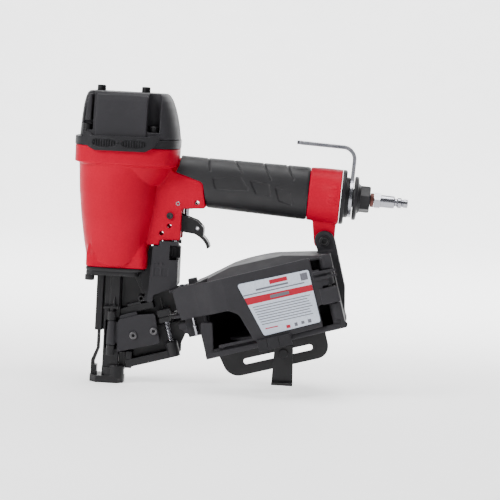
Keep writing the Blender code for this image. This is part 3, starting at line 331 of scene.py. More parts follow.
# ---------------------------------------------------------------- outlines
def rounded(corners, steps=6):
    """A closed outline from (x, y, radius) corners, each rounded by an arc of at most that radius."""
    outline = []
    count = len(corners)
    for i, (x, y, radius) in enumerate(corners):
        here = Vector((x, y))
        before = Vector(corners[i - 1][:2]) - here
        after = Vector(corners[(i + 1) % count][:2]) - here
        half = before.angle(after) / 2
        reach = min(radius / math.tan(half), before.length * 0.48, after.length * 0.48)
        if reach < 0.01:
            outline.append((x, y))
            continue
        radius = reach * math.tan(half)
        centre = here + (before.normalized() + after.normalized()).normalized() * (radius / math.sin(half))
        start = here + before.normalized() * reach - centre
        end = here + after.normalized() * reach - centre
        first = math.atan2(start.y, start.x)
        sweep = math.remainder(math.atan2(end.y, end.x) - first, 2 * math.pi)
        for step in range(steps + 1):
            angle = first + sweep * step / steps
            outline.append((centre.x + radius * math.cos(angle), centre.y + radius * math.sin(angle)))
    return outline


def rectangle(low, high, radius=0.0, steps=6):
    """A rectangle's outline between two opposite corners."""
    (x0, y0), (x1, y1) = low, high
    return rounded([(x0, y0, radius), (x1, y0, radius), (x1, y1, radius), (x0, y1, radius)], steps)


def squircle(centre, half_x, half_y, power, count=96):
    """A rounded rectangle from a superellipse; power 2 is an ellipse, and more is squarer."""
    outline = []
    for i in range(count):
        angle = 2 * math.pi * (i + 0.5) / count
        x, y = math.cos(angle), math.sin(angle)
        scale = (abs(x) ** power + abs(y) ** power) ** (-1 / power)
        outline.append((centre + half_x * x * scale, half_y * y * scale))
    return outline


def circle(x, y, radius, count=40, phase=0.0):
    """Points round a centre, the first at a phase in degrees."""
    angles = [2 * math.pi * i / count + math.radians(phase) for i in range(count)]
    return [(x + radius * math.cos(a), y + radius * math.sin(a)) for a in angles]


def head_outline(grow=0.0):
    """The head's plan at the collar, widened all round by grow."""
    return squircle(HEAD_X, HEAD_HALF_X + grow, HEAD_HALF_Y + grow, HEAD_POWER)


def oval_rings(stations, power=2.2, count=80):
    """Rings across the handle's length, from (x, half width, half height) stations."""
    return [[(x, y, z) for y, z in squircle(0.0, hy, hz, power, count)] for x, hy, hz in stations]


def magazine_point(u, w):
    """(x, z) in the working frame of a point in the magazine's frame."""
    slope = math.radians(MAGAZINE_SLOPE)
    x = u * math.cos(slope) - w * math.sin(slope)
    return x, MAGAZINE_Z + u * math.sin(slope) + w * math.cos(slope)


def steps_of(start, end, count):
    """Even steps from start to end, with both ends."""
    return [start + (end - start) * i / count for i in range(count + 1)]


# ---------------------------------------------------------------- materials
def node_tree(name):
    """A new material, with its nodes and its shader."""
    material = bpy.data.materials.new(name)
    material.use_nodes = True
    return material, material.node_tree, material.node_tree.nodes["Principled BSDF"]


def add_node(tree, kind, inputs, **settings):
    """A new node, with each input either set to a value or linked from a socket."""
    made = tree.nodes.new("ShaderNode" + kind)
    for key, value in settings.items():
        setattr(made, key, value)
    for key, value in inputs.items():
        if isinstance(value, bpy.types.NodeSocket):
            tree.links.new(value, made.inputs[key])
        else:
            made.inputs[key].default_value = value
    return made


def noise(tree, scale, detail, stretch=None):
    """A noise texture on the piece's own coordinates, with its scale in waves per metre."""
    source = add_node(tree, "TexCoord", {}).outputs["Object"]
    if stretch:
        source = add_node(tree, "Mapping", {"Scale": stretch, "Vector": source}).outputs["Vector"]
    return add_node(tree, "TexNoise", {"Scale": scale, "Detail": detail, "Vector": source}).outputs["Fac"]


def spread(tree, source, low, high, to_low, to_high):
    """Maps a value from one range to another."""
    limits = {"From Min": low, "From Max": high, "To Min": to_low, "To Max": to_high}
    return add_node(tree, "MapRange", {**limits, "Value": source}).outputs["Result"]


def blend(tree, factor, first, second):
    """Mixes two colours; each is a colour or a socket."""
    mix = add_node(tree, "Mix", {"Factor": factor}, data_type="RGBA")
    for key, value in [("A", first), ("B", second)]:
        socket = [s for s in mix.inputs if s.name == key and s.type == "RGBA"][0]
        if isinstance(value, tuple):
            socket.default_value = (*value, 1.0)
        else:
            tree.links.new(value, socket)
    return [s for s in mix.outputs if s.type == "RGBA"][0]


def times(tree, first, second):
    """The product of two sockets."""
    return add_node(tree, "Math", {0: first, 1: second}, operation="MULTIPLY").outputs[0]


def edge_mask(tree, radius, low=0.02, high=0.25):
    """1 along sharp edges and 0 on open faces: how far a rounded normal leans from the true one."""
    rounded_off = add_node(tree, "Bevel", {"Radius": radius}, samples=6).outputs["Normal"]
    true = add_node(tree, "NewGeometry", {}).outputs["Normal"]
    dot = add_node(tree, "VectorMath", {0: rounded_off, 1: true}, operation="DOT_PRODUCT")
    return spread(tree, dot.outputs["Value"], 1 - low, 1 - high, 0, 1)


def bump(tree, source, strength, distance, below=None):
    """A normal bent by a height, on top of another normal if there is one."""
    inputs = {"Strength": strength, "Distance": distance, "Height": source}
    if below:
        inputs["Normal"] = below
    return add_node(tree, "Bump", inputs).outputs["Normal"]


def surface(name, color, shade, rough, grain, metallic=0.0, edge_wear_and_highlight=None, stretch=None, specular=0.5):
    """A finish: colour that varies, patchy gloss, fine grain, and edges tinted in patches to another colour,
    partly as wear and partly as a painted edge highlight.

    rough is (low, high), and grain is (waves per metre, bump strength).
    """
    material, tree, shader = node_tree(name)
    cloud = spread(tree, noise(tree, 28, 4), 0.3, 0.7, 0, 1)
    fleck = spread(tree, noise(tree, 650, 3, stretch), 0.35, 0.7, 0, 1)
    tint = blend(tree, cloud, color, shade)
    darker = tuple(0.8 * value for value in color)
    tint = blend(tree, times(tree, fleck, spread(tree, cloud, 0, 1, 0.5, 0.9)), tint, darker)
    # Sharp edges take another colour in noisy patches: partly worn finish, partly a painted highlight for
    # light catching the edges.
    if edge_wear_and_highlight:
        scuff_and_glint_patches = spread(tree, noise(tree, 190, 5), 0.42, 0.62, 0, 1)
        edges = times(tree, edge_mask(tree, 0.0007), scuff_and_glint_patches)
        tint = blend(tree, edges, tint, edge_wear_and_highlight)
    tree.links.new(tint, shader.inputs["Base Color"])
    patch = noise(tree, 75, 6, stretch)
    tree.links.new(spread(tree, patch, 0.3, 0.75, *rough), shader.inputs["Roughness"])
    scale, strength = grain
    fine = bump(tree, noise(tree, scale, 2, stretch), strength, 0.0001)
    normal = bump(tree, noise(tree, scale / 4, 2), strength * 0.5, 0.0002, fine)
    tree.links.new(normal, shader.inputs["Normal"])
    shader.inputs["Metallic"].default_value = metallic
    shader.inputs["Specular IOR Level"].default_value = specular
    return material


def make_materials():
    """Every finish in the scene, by name."""
    # The edge colour of each finish is partly wear and, where it is lighter than the base, a painted edge
    # highlight.
    looks = {
        "red_paint": dict(color=(0.42, 0.0002, 0.020), shade=(0.37, 0.0002, 0.016), rough=(0.34, 0.46),
                          grain=(1100, 0.10), edge_wear_and_highlight=(0.40, 0.001, 0.022), specular=0.05),
        "black_plastic": dict(color=(0.013, 0.0125, 0.0145), shade=(0.010, 0.0096, 0.011),
                              rough=(0.40, 0.54), grain=(2600, 0.30), edge_wear_and_highlight=(0.05, 0.05, 0.055),
                              specular=0.2),
        "grey_plastic": dict(color=(0.023, 0.022, 0.025), shade=(0.018, 0.0173, 0.020), rough=(0.50, 0.64),
                             grain=(2200, 0.25), edge_wear_and_highlight=(0.06, 0.06, 0.065), specular=0.18),
        "rubber": dict(color=(0.010, 0.0095, 0.011), shade=(0.008, 0.0077, 0.009), rough=(0.46, 0.60),
                       grain=(3000, 0.40), edge_wear_and_highlight=(0.035, 0.035, 0.038), specular=0.35),
        "black_steel": dict(color=(0.0095, 0.0090, 0.0102), shade=(0.0066, 0.0064, 0.0072),
                            rough=(0.36, 0.52), grain=(1500, 0.22), edge_wear_and_highlight=(0.10, 0.098, 0.095),
                            specular=0.25),
        "worn_steel": dict(color=(0.060, 0.058, 0.062), shade=(0.035, 0.034, 0.037), rough=(0.30, 0.44),
                           grain=(1500, 0.22), edge_wear_and_highlight=(0.30, 0.29, 0.29)),
        "steel": dict(color=(0.36, 0.36, 0.39), shade=(0.28, 0.28, 0.31), rough=(0.16, 0.32), metallic=1.0,
                      grain=(900, 0.08), edge_wear_and_highlight=(0.55, 0.55, 0.57), stretch=(1, 8, 8)),
        "aluminium": dict(color=(0.66, 0.67, 0.69), shade=(0.60, 0.61, 0.63), rough=(0.28, 0.42),
                          metallic=1.0, grain=(900, 0.10), stretch=(1, 1, 10)),
        "bronze": dict(color=(0.14, 0.045, 0.036), shade=(0.10, 0.034, 0.028), rough=(0.40, 0.6),
                       metallic=0.5, grain=(1500, 0.3)),
        "label_paper": dict(color=(0.44, 0.49, 0.58), shade=(0.56, 0.60, 0.68), rough=(0.34, 0.42),
                            grain=(1500, 0.05)),
        "print_red": dict(color=(0.36, 0.001, 0.018), shade=(0.32, 0.001, 0.016), rough=(0.36, 0.44),
                          grain=(1500, 0.05), specular=0.3),
        "print_dark": dict(color=(0.08, 0.08, 0.10), shade=(0.11, 0.11, 0.13), rough=(0.4, 0.5),
                           grain=(1500, 0.05)),
        "floor": dict(color=(0.90, 0.90, 0.90), shade=(0.88, 0.88, 0.885), rough=(0.7, 0.8),
                      grain=(400, 0.02)),
    }
    return {name: surface(name, **look) for name, look in looks.items()}


MATERIALS = make_materials()


# ---------------------------------------------------------------- casting and grip
WEB = [
    (18, 127.2, 0), (40, 127.2, 0), (40, 131.6, 0), (58.6, 132.6, 2), (58.6, 161.2, 2),
    (79.8, 162.2, 2), (75.6, 185.2, 5), (49.5, 194.0, 2), (44, 201, 0), (18, 201, 0),
]


def make_housing():
    """The cast body: barrel, square foot, head collar, trigger ears, handle core and magazine lug."""
    profile = [(0, BARREL[-1][0])] + [(r, z) for z, r in reversed(BARREL)] + [(0, BARREL[0][0])]
    body = lathe("housing", profile, at=(BARREL_X, 0, 0), steps=120)
    feet = [(FOOT_LOW, 27.2, 25.6), (116, 27.4, 25.4), (137, 25.0, 18.0)]
    foot = loft("foot", [
        [(FOOT_X + x, y, z) for x, y in rectangle((-hx, -hy), (hx, hy), BASE_CORNER)] for z, hx, hy in feet
    ])
    apron = lathe("apron", [(0, 150), (33.5, 150), (31.2, 128), (29.6, 107), (0, 107)],
                  at=(BARREL_X, 0, 0), steps=120)
    keep(apron, side_plate("apron_edge", rounded([
        (-20.5, 160, 0), (-20.5, 107.6, 20), (23.5, 107.6, 20), (23.5, 160, 0),
    ], 16), -60, 60))
    levels = [
        (COLLAR_LOW - 18, squircle(5.0, 36.0, 31.0, 2.2)), (196.8, squircle(8.6, 40.6, 36.4, 2.7)),
        (COLLAR_LOW, head_outline()), (COLLAR_HIGH, head_outline()),
    ]
    collar = loft("collar", [[(x, y, z) for x, y in outline] for z, outline in levels])
    web = side_plate("web", rounded(WEB), -15.2, 15.2)
    core = loft("core", oval_rings([(x, CORE_HALF_Y, CORE_HALF_Z) for x in (-32, GRIP_END + 5)]), HANDLE)
    tail_stations = [
        (GRIP_END + GAP, 18.2, 23.6), (118, 19.2, 24.0), (124, 20.5, 24.3), (130, 22.2, END_RADIUS),
        (135, 23.4, END_RADIUS), (HANDLE_END, 23.9, END_RADIUS),
    ]
    tail = loft("tail", oval_rings(tail_stations, 2.1), HANDLE)
    lug = side_plate("lug", rounded([
        (174.6, 165, 0), (197.5, 165, 0), (196.2, 150, 3), (LUG_X + 8.6, LUG_Z - 8.6, 8.4),
        (LUG_X - 8.6, LUG_Z - 8.6, 8.4), (176.0, 150, 3),
    ]), -6.0, 6.0)
    join(body, foot, apron, collar, web, core, tail, lug, *tail_marks())
    bore = [
        (0, 216), (BORE_HIGH, 216), (BORE_HIGH, 166), (BORE_LOW, 160), (BORE_LOW, BORE_FLOOR),
        (12, BORE_FLOOR), (12, 90), (0, 90),
    ]
    cut(
        body,
        lathe("bore", bore, steps=64),
        loft("air", oval_rings([(-30, 10.8, 14.6), (HANDLE_END + 6, 10.8, 14.6)], count=32), HANDLE),
        box("trigger_slot", (36, -9.4, 120), (66, 9.4, 159.8)),
        rod("valve_seat", 8.5, 150, 176, at=(VALVE_X, 0, 0)),
    )
    cut(body, *housing_holes())
    show(cast(body, 0.62, 5, 0.3), "red_paint", "housing")
    pin = ring("ear_pin", 1.0, 2.0, 15.0, 15.5, at=(54.8, 0, 165.5), turn=SIDEWAYS)
    show(edged(pin, 0.15, 1), "steel", "housing", name="ear_pin", slot="steel")


def tail_marks():
    """Raised bars on both sides of the casting behind the grip."""
    marks = []
    skin_stations = [(120, 20.3, 25), (135, 24.1, 25), (145, 24.8, 25)]
    for w, half in [(8.6, 2.6), (0.6, 3.2), (-2.8, 3.2), (-6.2, 3.2)]:
        outline = rectangle((MARK_U - half, w - 0.6), (MARK_U + half, w + 0.6), 0.5)
        skin = loft("skin", oval_rings(skin_stations, 2.1), HANDLE)
        marks.append(keep(side_plate("mark", outline, -24.2, 24.2, HANDLE), skin))
    return marks


def housing_holes():
    """The holes for the pins and screws."""
    holes = [
        rod("lug_bore", 3.1, -9, 9, at=LUG_BOLT, turn=ACROSS),
        rod("pivot_bore", 2.35, -20, 20, at=(TRIGGER_PIVOT[0], 0, TRIGGER_PIVOT[1]), turn=ACROSS),
    ]
    for x, z in EAR_HOLES:
        holes.append(rod("ear_hole", 2.0, -20, 20, at=(x, 0, z), turn=ACROSS, steps=24))
    for x, y in CAP_SCREWS:
        holes.append(rod("cap_hole", 2.9, COLLAR_HIGH - 12, COLLAR_HIGH + 4, at=(x, y, 0), steps=24))
    for x, y in NOSE_SCREWS:
        holes.append(rod("nose_hole", 2.8, 90, FOOT_LOW + 9, at=(x, y, 0), steps=24))
    return holes


GRIP_PANELS = [
    [(25.5, 5.7), (50.8, 9.1), (60.4, -2.7), (29.1, -4.1)],
    [(58.6, 7.6), (76.1, 5.4), (80.5, -5.7), (65.7, -4.7)],
    [(81.3, 4.6), (96.5, -0.1), (100.1, -11.9), (86.6, -8.9)],
]
GRIP_GROOVES = [
    ((18.4, 26), (23.4, 11.0)), ((40.4, 26), (52.4, 12.4)), ((67.8, 26), (78.3, 8.8)),
    ((89.0, 26), (98.6, 11.4)),
]


def make_grip():
    """The rubber sleeve: sunk panels on both sides and slanting grooves over its back."""
    stations = [
        (-16, 17.4, 22.0), (20, 17.4, 22.2), (60, 18.0, 22.9), (GRIP_END - 2, 18.8, 23.7),
        (GRIP_END, 18.2, 23.1),
    ]

    def skin(name, inset):
        sunk = [(x, half_y - inset, half_z - inset) for x, half_y, half_z in stations]
        return loft(name, oval_rings(sunk, count=120), HANDLE)

    grip = skin("handle_grip", 0.0)
    wells = []
    for panel in GRIP_PANELS:
        wells.append(side_plate("well", rounded([(x, y, 1.6) for x, y in panel], 3), -30, 30, HANDLE))
    for (x0, z0), (x1, z1) in GRIP_GROOVES:
        groove = [(x0 - 0.7, z0), (x0 + 0.7, z0), (x1 + 0.7, z1), (x1 - 0.7, z1)]
        wells.append(side_plate("groove", groove, -30, 30, HANDLE))
    first = wells.pop()
    first = cut(join(first, *wells), skin("floor", 0.85))
    gap = GAP + 0.05
    bore = [(x, CORE_HALF_Y + gap, CORE_HALF_Z + gap) for x in (-40, GRIP_END + 20)]
    cut(grip, first, loft("inside", oval_rings(bore), HANDLE))
    clear = [
        (-10, 120, 0), (59.0, 120, 0), (59.0, 161.9, 0), (80.4, 161.9, 0), (76.1, 185.5, 5),
        (51.6, 193.8, 0), (54.0, 199.2, 0), (55.4, 208.4, 0), (58, 240, 0), (-10, 240, 0),
    ]
    cut(grip, side_plate("front", rounded(clear), -40, 40))
    show(cast(grip, 0.45, 3, 0.3), "rubber", "handle_grip")


# ---------------------------------------------------------------- head
def make_cap():
    """The exhaust cap: a flat panel on each side between two screw channels, and a raised top plate."""
    stations = [
        (BAND_HIGH + GAP, 8.3, 44.6, 38.8), (233, 7.9, 43.5, 38.0), (242, 7.3, 42.2, 36.9),
        (249.5, 6.6, 40.7, 35.8), (256, 6.0, 38.8, 34.5), (CAP_HIGH - 1.8, 5.4, 36.6, 32.8),
        (CAP_HIGH, 5.2, 34.4, 30.6),
    ]
    cap = loft("head_cap", [[(x, y, z) for x, y in squircle(c, hx, hy, 3.4)] for z, c, hx, hy in stations])
    extras = []
    for side in (-1, 1):
        panel = []
        for z, reach in [(222.4, 39.6), (240, 37.7), (255, 35.2), (259.6, 33.6)]:
            low, high = sorted([side * 20, side * reach])
            panel.append([(x, y, z) for x, y in rectangle((-20.4, low), (25.6, high))])
        extras.append(loft("panel", panel))
    extras.append(plate("top_plate", rectangle((-27, -17), (27, 17), 6), CAP_HIGH - 4, CAP_HIGH + 0.28))
    join(cap, *extras)
    cutters = [rod("cavity", BORE_HIGH + 0.4, 210, CAVITY_HIGH, steps=64)]
    for x, y in CAP_SCREWS:
        side = 1 if y > 0 else -1
        near, far = sorted([y - side * RECESS, y + side * 20])
        outline = rectangle((x - RECESS, near), (x + RECESS, far), RECESS - 0.1)
        cutters.append(plate("recess", outline, 228, 280))
        cutters.append(rod("shank", 2.9, 215, 235, at=(x, y, 0)))
    for x in COVER_SCREWS:
        cutters.append(rod("shank", 2.4, CAP_HIGH - 8, CAP_HIGH + 4, at=(x, 0, 0)))
    cut(cap, *cutters)
    pillars = []
    for side in (-1, 1):
        pillar = []
        for z, left, reach in [(236, -29.6, 34.4), (250, -29.0, 32.6), (259.6, -27.6, 30.2)]:
            low, high = sorted([side * 20, side * reach])
            pillar.append([(x, y, z) for x, y in rectangle((left, low), (-24.3, high), 1)])
        pillars.append(loft("pillar", pillar))
    join(cap, *pillars)
    show(cast(cap, 0.6, 3, 0.35), "grey_plastic", "head_cap", slot="black_plastic")


def make_cap_band():
    """The flat band between the collar and the cap."""
    band = plate("cap_band", head_outline(0.4), COLLAR_HIGH + GAP, BAND_HIGH)
    cutters = [rod("opening", BORE_HIGH + 0.4, 205, 230, steps=64)]
    for x, y in CAP_SCREWS:
        cutters.append(rod("shank", 2.9, 205, 235, at=(x, y, 0)))
    cut(band, *cutters)
    show(edged(band, 0.8, 3), "black_plastic", "cap_band")


def make_grille(name, side):
    """A shield that follows the head's side and drops over the collar, with two ovals of exhaust slots."""
    low, high = 208, 227
    near, far = (-60, -20) if side < 0 else (20, 60)
    shield = cut(plate(name, head_outline(3.4), low, high), plate("inner", head_outline(0.8), 200, 230))
    lobe = rounded([
        (-31.2, 226.2, 1.5), (-28.8, 218.0, 4), (-25.4, 213.2, 4), (-19.6, 210.4, 5), (25.6, 210.8, 5),
        (31.8, 214.4, 4), (37.0, 221.6, 3), (37.0, 226.2, 1.5), (33.0, 226.2, 1), (27.4, 224.0, 3),
        (-21.8, 223.4, 3), (-25.4, 226.2, 1.5),
    ])
    keep(shield, side_plate("lobe", lobe, near, far))
    sunk, vents = [], []
    vent_z = 217.4
    for centre in (-10.9, 15.6):
        oval = [(centre + x, vent_z + z) for x, z in squircle(0, 11.2, 4.3, 2.4, 64)]
        sunk.append(side_plate("oval", oval, near, far))
        for offset in range(-4, 5):
            x = centre + offset * 2.3
            reach = 3.5 * math.sqrt(1 - (offset / 5.2) ** 2)
            outline = rectangle((x - 0.7, vent_z - reach), (x + 0.7, vent_z + reach), 0.6, 3)
            vents.append(side_plate("vent", outline, near, far))
    sunk.append(side_plate("notch", [(0.4, 216.6), (4.2, 216.6), (2.3, 221.0)], near, far))
    first = sunk.pop()
    cut(shield, cut(join(first, *sunk), plate("oval_floor", head_outline(2.6), 200, 240)))
    first = vents.pop()
    cut(shield, cut(join(first, *vents), plate("vent_floor", head_outline(1.0), 200, 240)))
    show(edged(shield, 0.35, 2, 50), "black_plastic", name)


def make_screw(node, at, head, tip, shank=2.5, radius=4.3, turn=UPRIGHT):
    """A hexagon-socket screw with a broken edge; head is (low, high) on its axis and tip its far end."""
    low, high = head
    outward = 1 if tip < low else -1
    under, top = (low, high) if outward > 0 else (high, low)
    profile = [
        (0, top), (radius - 0.9, top), (radius - 0.4, top - outward * 0.15), (radius, top - outward * 0.7),
        (radius, under), (shank, under), (shank, tip), (0, tip),
    ]
    screw = lathe(node, profile, BASE, at, turn, 48)
    depth = sorted([top - outward * 2.6, top + outward * 2])
    hexagon = loft("socket", [circle_ring(SOCKET * 1.155, z, 6) for z in depth], BASE, at, turn)
    show(edged(cut(screw, hexagon), 0.15, 1, 40), "black_steel", node, slot="black_steel")


def make_head_screws():
    """The socket screws of the cap, the cap's cover and the nose."""
    for number, (x, y) in enumerate(CAP_SCREWS, 1):
        make_screw(f"cap_screw_{number}", (x, y, 0), head=(228.3, 233.3), tip=COLLAR_HIGH - 10)
    cover_head = (CAP_HIGH + GAP, CAP_HIGH + 5.3)
    for x, name in zip(COVER_SCREWS, ["cover_screw_front", "cover_screw_rear"]):
        make_screw(name, (x, 0, 0), head=cover_head, tip=CAP_HIGH - 7, shank=2.1, radius=3.9)
    for name, (x, y) in zip(["nose_screw_left", "nose_screw_right"], NOSE_SCREWS):
        make_screw(name, (x, y, 0), head=(93.2, FLANGE_LOW - GAP), tip=FOOT_LOW + 8)


# ---------------------------------------------------------------- trigger and valve
def make_trigger():
    """A folded steel trigger and the pin that it swings on."""
    px, pz = TRIGGER_PIVOT
    side = rounded([
        (px - 5.4, pz - 5.4, 5), (59.6, 139.9, 2), (70.5, 138.6, 3), (78.6, 136.4, 1.5), (78.6, 144.6, 4),
        (72.6, 150.6, 4), (60.0, 154.8, 3), (px - 5.4, pz + 5.4, 5),
    ])
    trigger = side_plate("trigger", side, -8.6, 8.6)
    finger = [(59.0, 143.2), (59.0, 140.7)]
    arcs = [(59.0, 140.7, 23.4, 17.0, (0.25, 1.45)), (61.0, 142.6, 23.8, 17.6, (1.45, 0.25))]
    for x, z, rx, rz, turns in arcs:
        finger += [(x + rx * math.sin(t), z - rz * (1 - math.cos(t))) for t in steps_of(*turns, 20)]
    inside = rounded([
        (30, 120, 0), (58.6, 120, 0), (58.6, 141.9, 0), (68.2, 141.4, 2), (76.4, 136.4, 1), (76.4, 200, 0),
        (30, 200, 0),
    ])
    cut(trigger, side_plate("hollow", inside, -6.8, 6.8))
    join(trigger, side_plate("pad", finger, -8.6, 8.6))
    cut(trigger, rod("pivot", 2.3, -12, 12, at=(px, 0, pz), turn=ACROSS),
        rod("trip", 1.9, -12, 12, at=TRIP_PIN, turn=ACROSS))
    show(edged(trigger, 0.35), "black_steel", "trigger")
    pin = [
        (0, 16.9), (1.0, 16.9), (1.3, 17.4), (2.6, 17.4), (3.0, 17.0), (3.0, 15.5), (2.0, 15.5),
        (2.0, -15.5), (3.0, -15.5), (3.0, -17.0), (2.6, -17.4), (1.3, -17.4), (1.0, -16.9), (0, -16.9),
    ]
    show(edged(lathe("pin", pin, at=(px, 0, pz), turn=ACROSS), 0.1, 1, 50), "rubber", "trigger_pin")


def make_trip_lever():
    """The lever inside the trigger, and the tube that it turns on."""
    tube = [(1.0, 8.7), (1.2, 8.9), (1.6, 8.9), (1.6, -8.9), (1.2, -8.9), (1.0, -8.7)]
    show(edged(lathe("tube", tube, at=TRIP_PIN, turn=ACROSS), 0.08, 1, 50), "steel", "trip_lever_pin")
    x, _, z = TRIP_PIN
    lever = rounded([
        (x + 3.0, z - 3.0, 3), (x + 3.0, z + 3.0, 3), (62, 147.4, 2), (50.8, 144.6, 1), (50.8, 142.4, 1),
        (60, 143.9, 2),
    ])
    arm = side_plate("lever", lever, -2.6, 2.6)
    cut(arm, rod("eye", 1.9, -6, 6, at=TRIP_PIN, turn=ACROSS))
    show(edged(arm, 0.3), "black_steel", "trip_lever")


def make_valve_stem():
    """The stem that the trip lever lifts."""
    stem = [
        (0, 172.6), (5.8, 172.6), (5.8, 170.4), (2.2, 170.4), (2.2, 154), (1.9, 153.5), (1.2, 153.2),
        (0, 153.2),
    ]
    show(edged(lathe("stem", stem, at=(VALVE_X, 0, 0)), 0.1, 1, 50), "steel", "trigger_valve_stem")


# ---------------------------------------------------------------- handle end
def make_end_cap():
    """The moulded ring that closes the handle."""
    end = HANDLE_END + GAP
    cap = [
        (8.4, 151.2), (11.8, 151.2), (12.4, 150.7), (12.4, 148.2), (17.4, 148.2), (18.1, 147.5),
        (18.1, 145.2), (22.4, 145.2), (23.8, 144.8), (END_RADIUS, 143.7), (END_RADIUS, end), (8.4, end),
    ]
    end_cap = lathe("end_cap", cap, HANDLE, turn=REARWARD, steps=120)
    show(edged(end_cap, 0.3, 2, 40), "black_plastic", "end_cap")


def make_swivel():
    """The swivel flange with its hexagon."""
    flange = [
        (4.6, 166.8), (5.4, 167.3), (10.4, 167.3), (10.4, 159.0), (12.2, 158.4), (13.0, 157.2),
        (13.6, 156.6), (18.2, 156.0), (19.2, 155.4), (19.6, 154.4), (19.6, 153.2), (19.2, 152.5),
        (18.4, 152.2), (8.1, 152.2), (8.1, 142.5), (4.6, 142.5),
    ]
    swivel = lathe("swivel_flange", flange, HANDLE, turn=REARWARD, steps=120)
    nut = plate("nut", circle(0, 0, 12.3, 6, 12), 158.2, 167.3, HANDLE, REARWARD)
    blank = [(0, 167.3), (10.9, 167.3), (12.6, 166.2), (12.6, 158), (0, 158)]
    keep(nut, lathe("nut_turn", blank, HANDLE, turn=REARWARD))
    cut(nut, rod("nut_bore", 9.0, 150, 175, HANDLE, turn=REARWARD))
    show(edged(join(swivel, nut), 0.25, 2, 30), "black_plastic", "swivel_flange")


def make_air_plug():
    """The threaded bush and the plug screwed into it."""
    thread = [
        (3.0, 170.8), (5.9, 170.8), (6.3, 170.3), (6.3, 168.1), (5.9, 167.6), (4.3, 167.6), (4.3, 158),
        (3.0, 158),
    ]
    show(edged(lathe("bush", thread, HANDLE, turn=REARWARD), 0.1, 1, 50), "bronze", "thread_bush")
    plug = [
        (2.2, 201.4), (3.2, 201.4), (3.7, 201.0), (3.8, 200.4), (3.8, 197.4), (3.3, 196.8), (3.3, 196.2),
        (4.65, 195.2), (4.65, 192.4), (4.2, 191.8), (3.4, 191.4), (3.4, 190.0), (5.2, 189.2), (5.6, 188.6),
        (5.6, 177.2), (5.2, 176.6), (5.2, 171.1), (2.7, 171.1), (2.7, 162), (2.2, 162),
    ]
    air_plug = lathe("air_plug", plug, HANDLE, turn=REARWARD, steps=96)
    hexagon = plate("hexagon", circle(0, 0, 7.6, 6, 20), 171.1, 176.8, HANDLE, REARWARD)
    blank = [(0, 176.8), (6.8, 176.8), (7.8, 176.0), (7.8, 171.9), (6.8, 171.1), (0, 171.1)]
    keep(hexagon, lathe("turn", blank, HANDLE, turn=REARWARD))
    cut(hexagon, rod("plug_bore", 3.6, 165, 180, HANDLE, turn=REARWARD))
    show(edged(join(air_plug, hexagon), 0.15, 2, 35), "steel", "air_plug")


def make_hook():
    """A steel strap bent over the handle from a ring that turns on the end cap."""
    thick, top, tip, bend = 3.4, 46.4, 97.0, 12.5
    rear = 151.6
    eye = ring("hook", 12.8, 17.6, rear - thick, rear, HANDLE, turn=REARWARD)
    quarter = steps_of(0, math.pi / 2, 18)
    outer, inner = [
        [(rear - bend + r * math.sin(t), top - bend + r * math.cos(t)) for t in quarter]
        for r in (bend, bend - thick)
    ]
    outline = [(tip, top), *outer, (rear, 14.6), (rear - thick, 14.6), *reversed(inner), (tip, top - thick)]
    strap = side_plate("strap", outline, -8, 8, HANDLE)
    plan = plate("plan", rectangle((tip, -8), (rear + 30, 8), 5), -60, 60, HANDLE)
    keep(strap, plan)
    join(eye, strap)
    cut(eye, rod("tip_hole", 2.2, 30, 60, HANDLE, at=(tip + 4.6, 0, 0)))
    show(edged(eye, 0.45, 3), "steel", "hook")


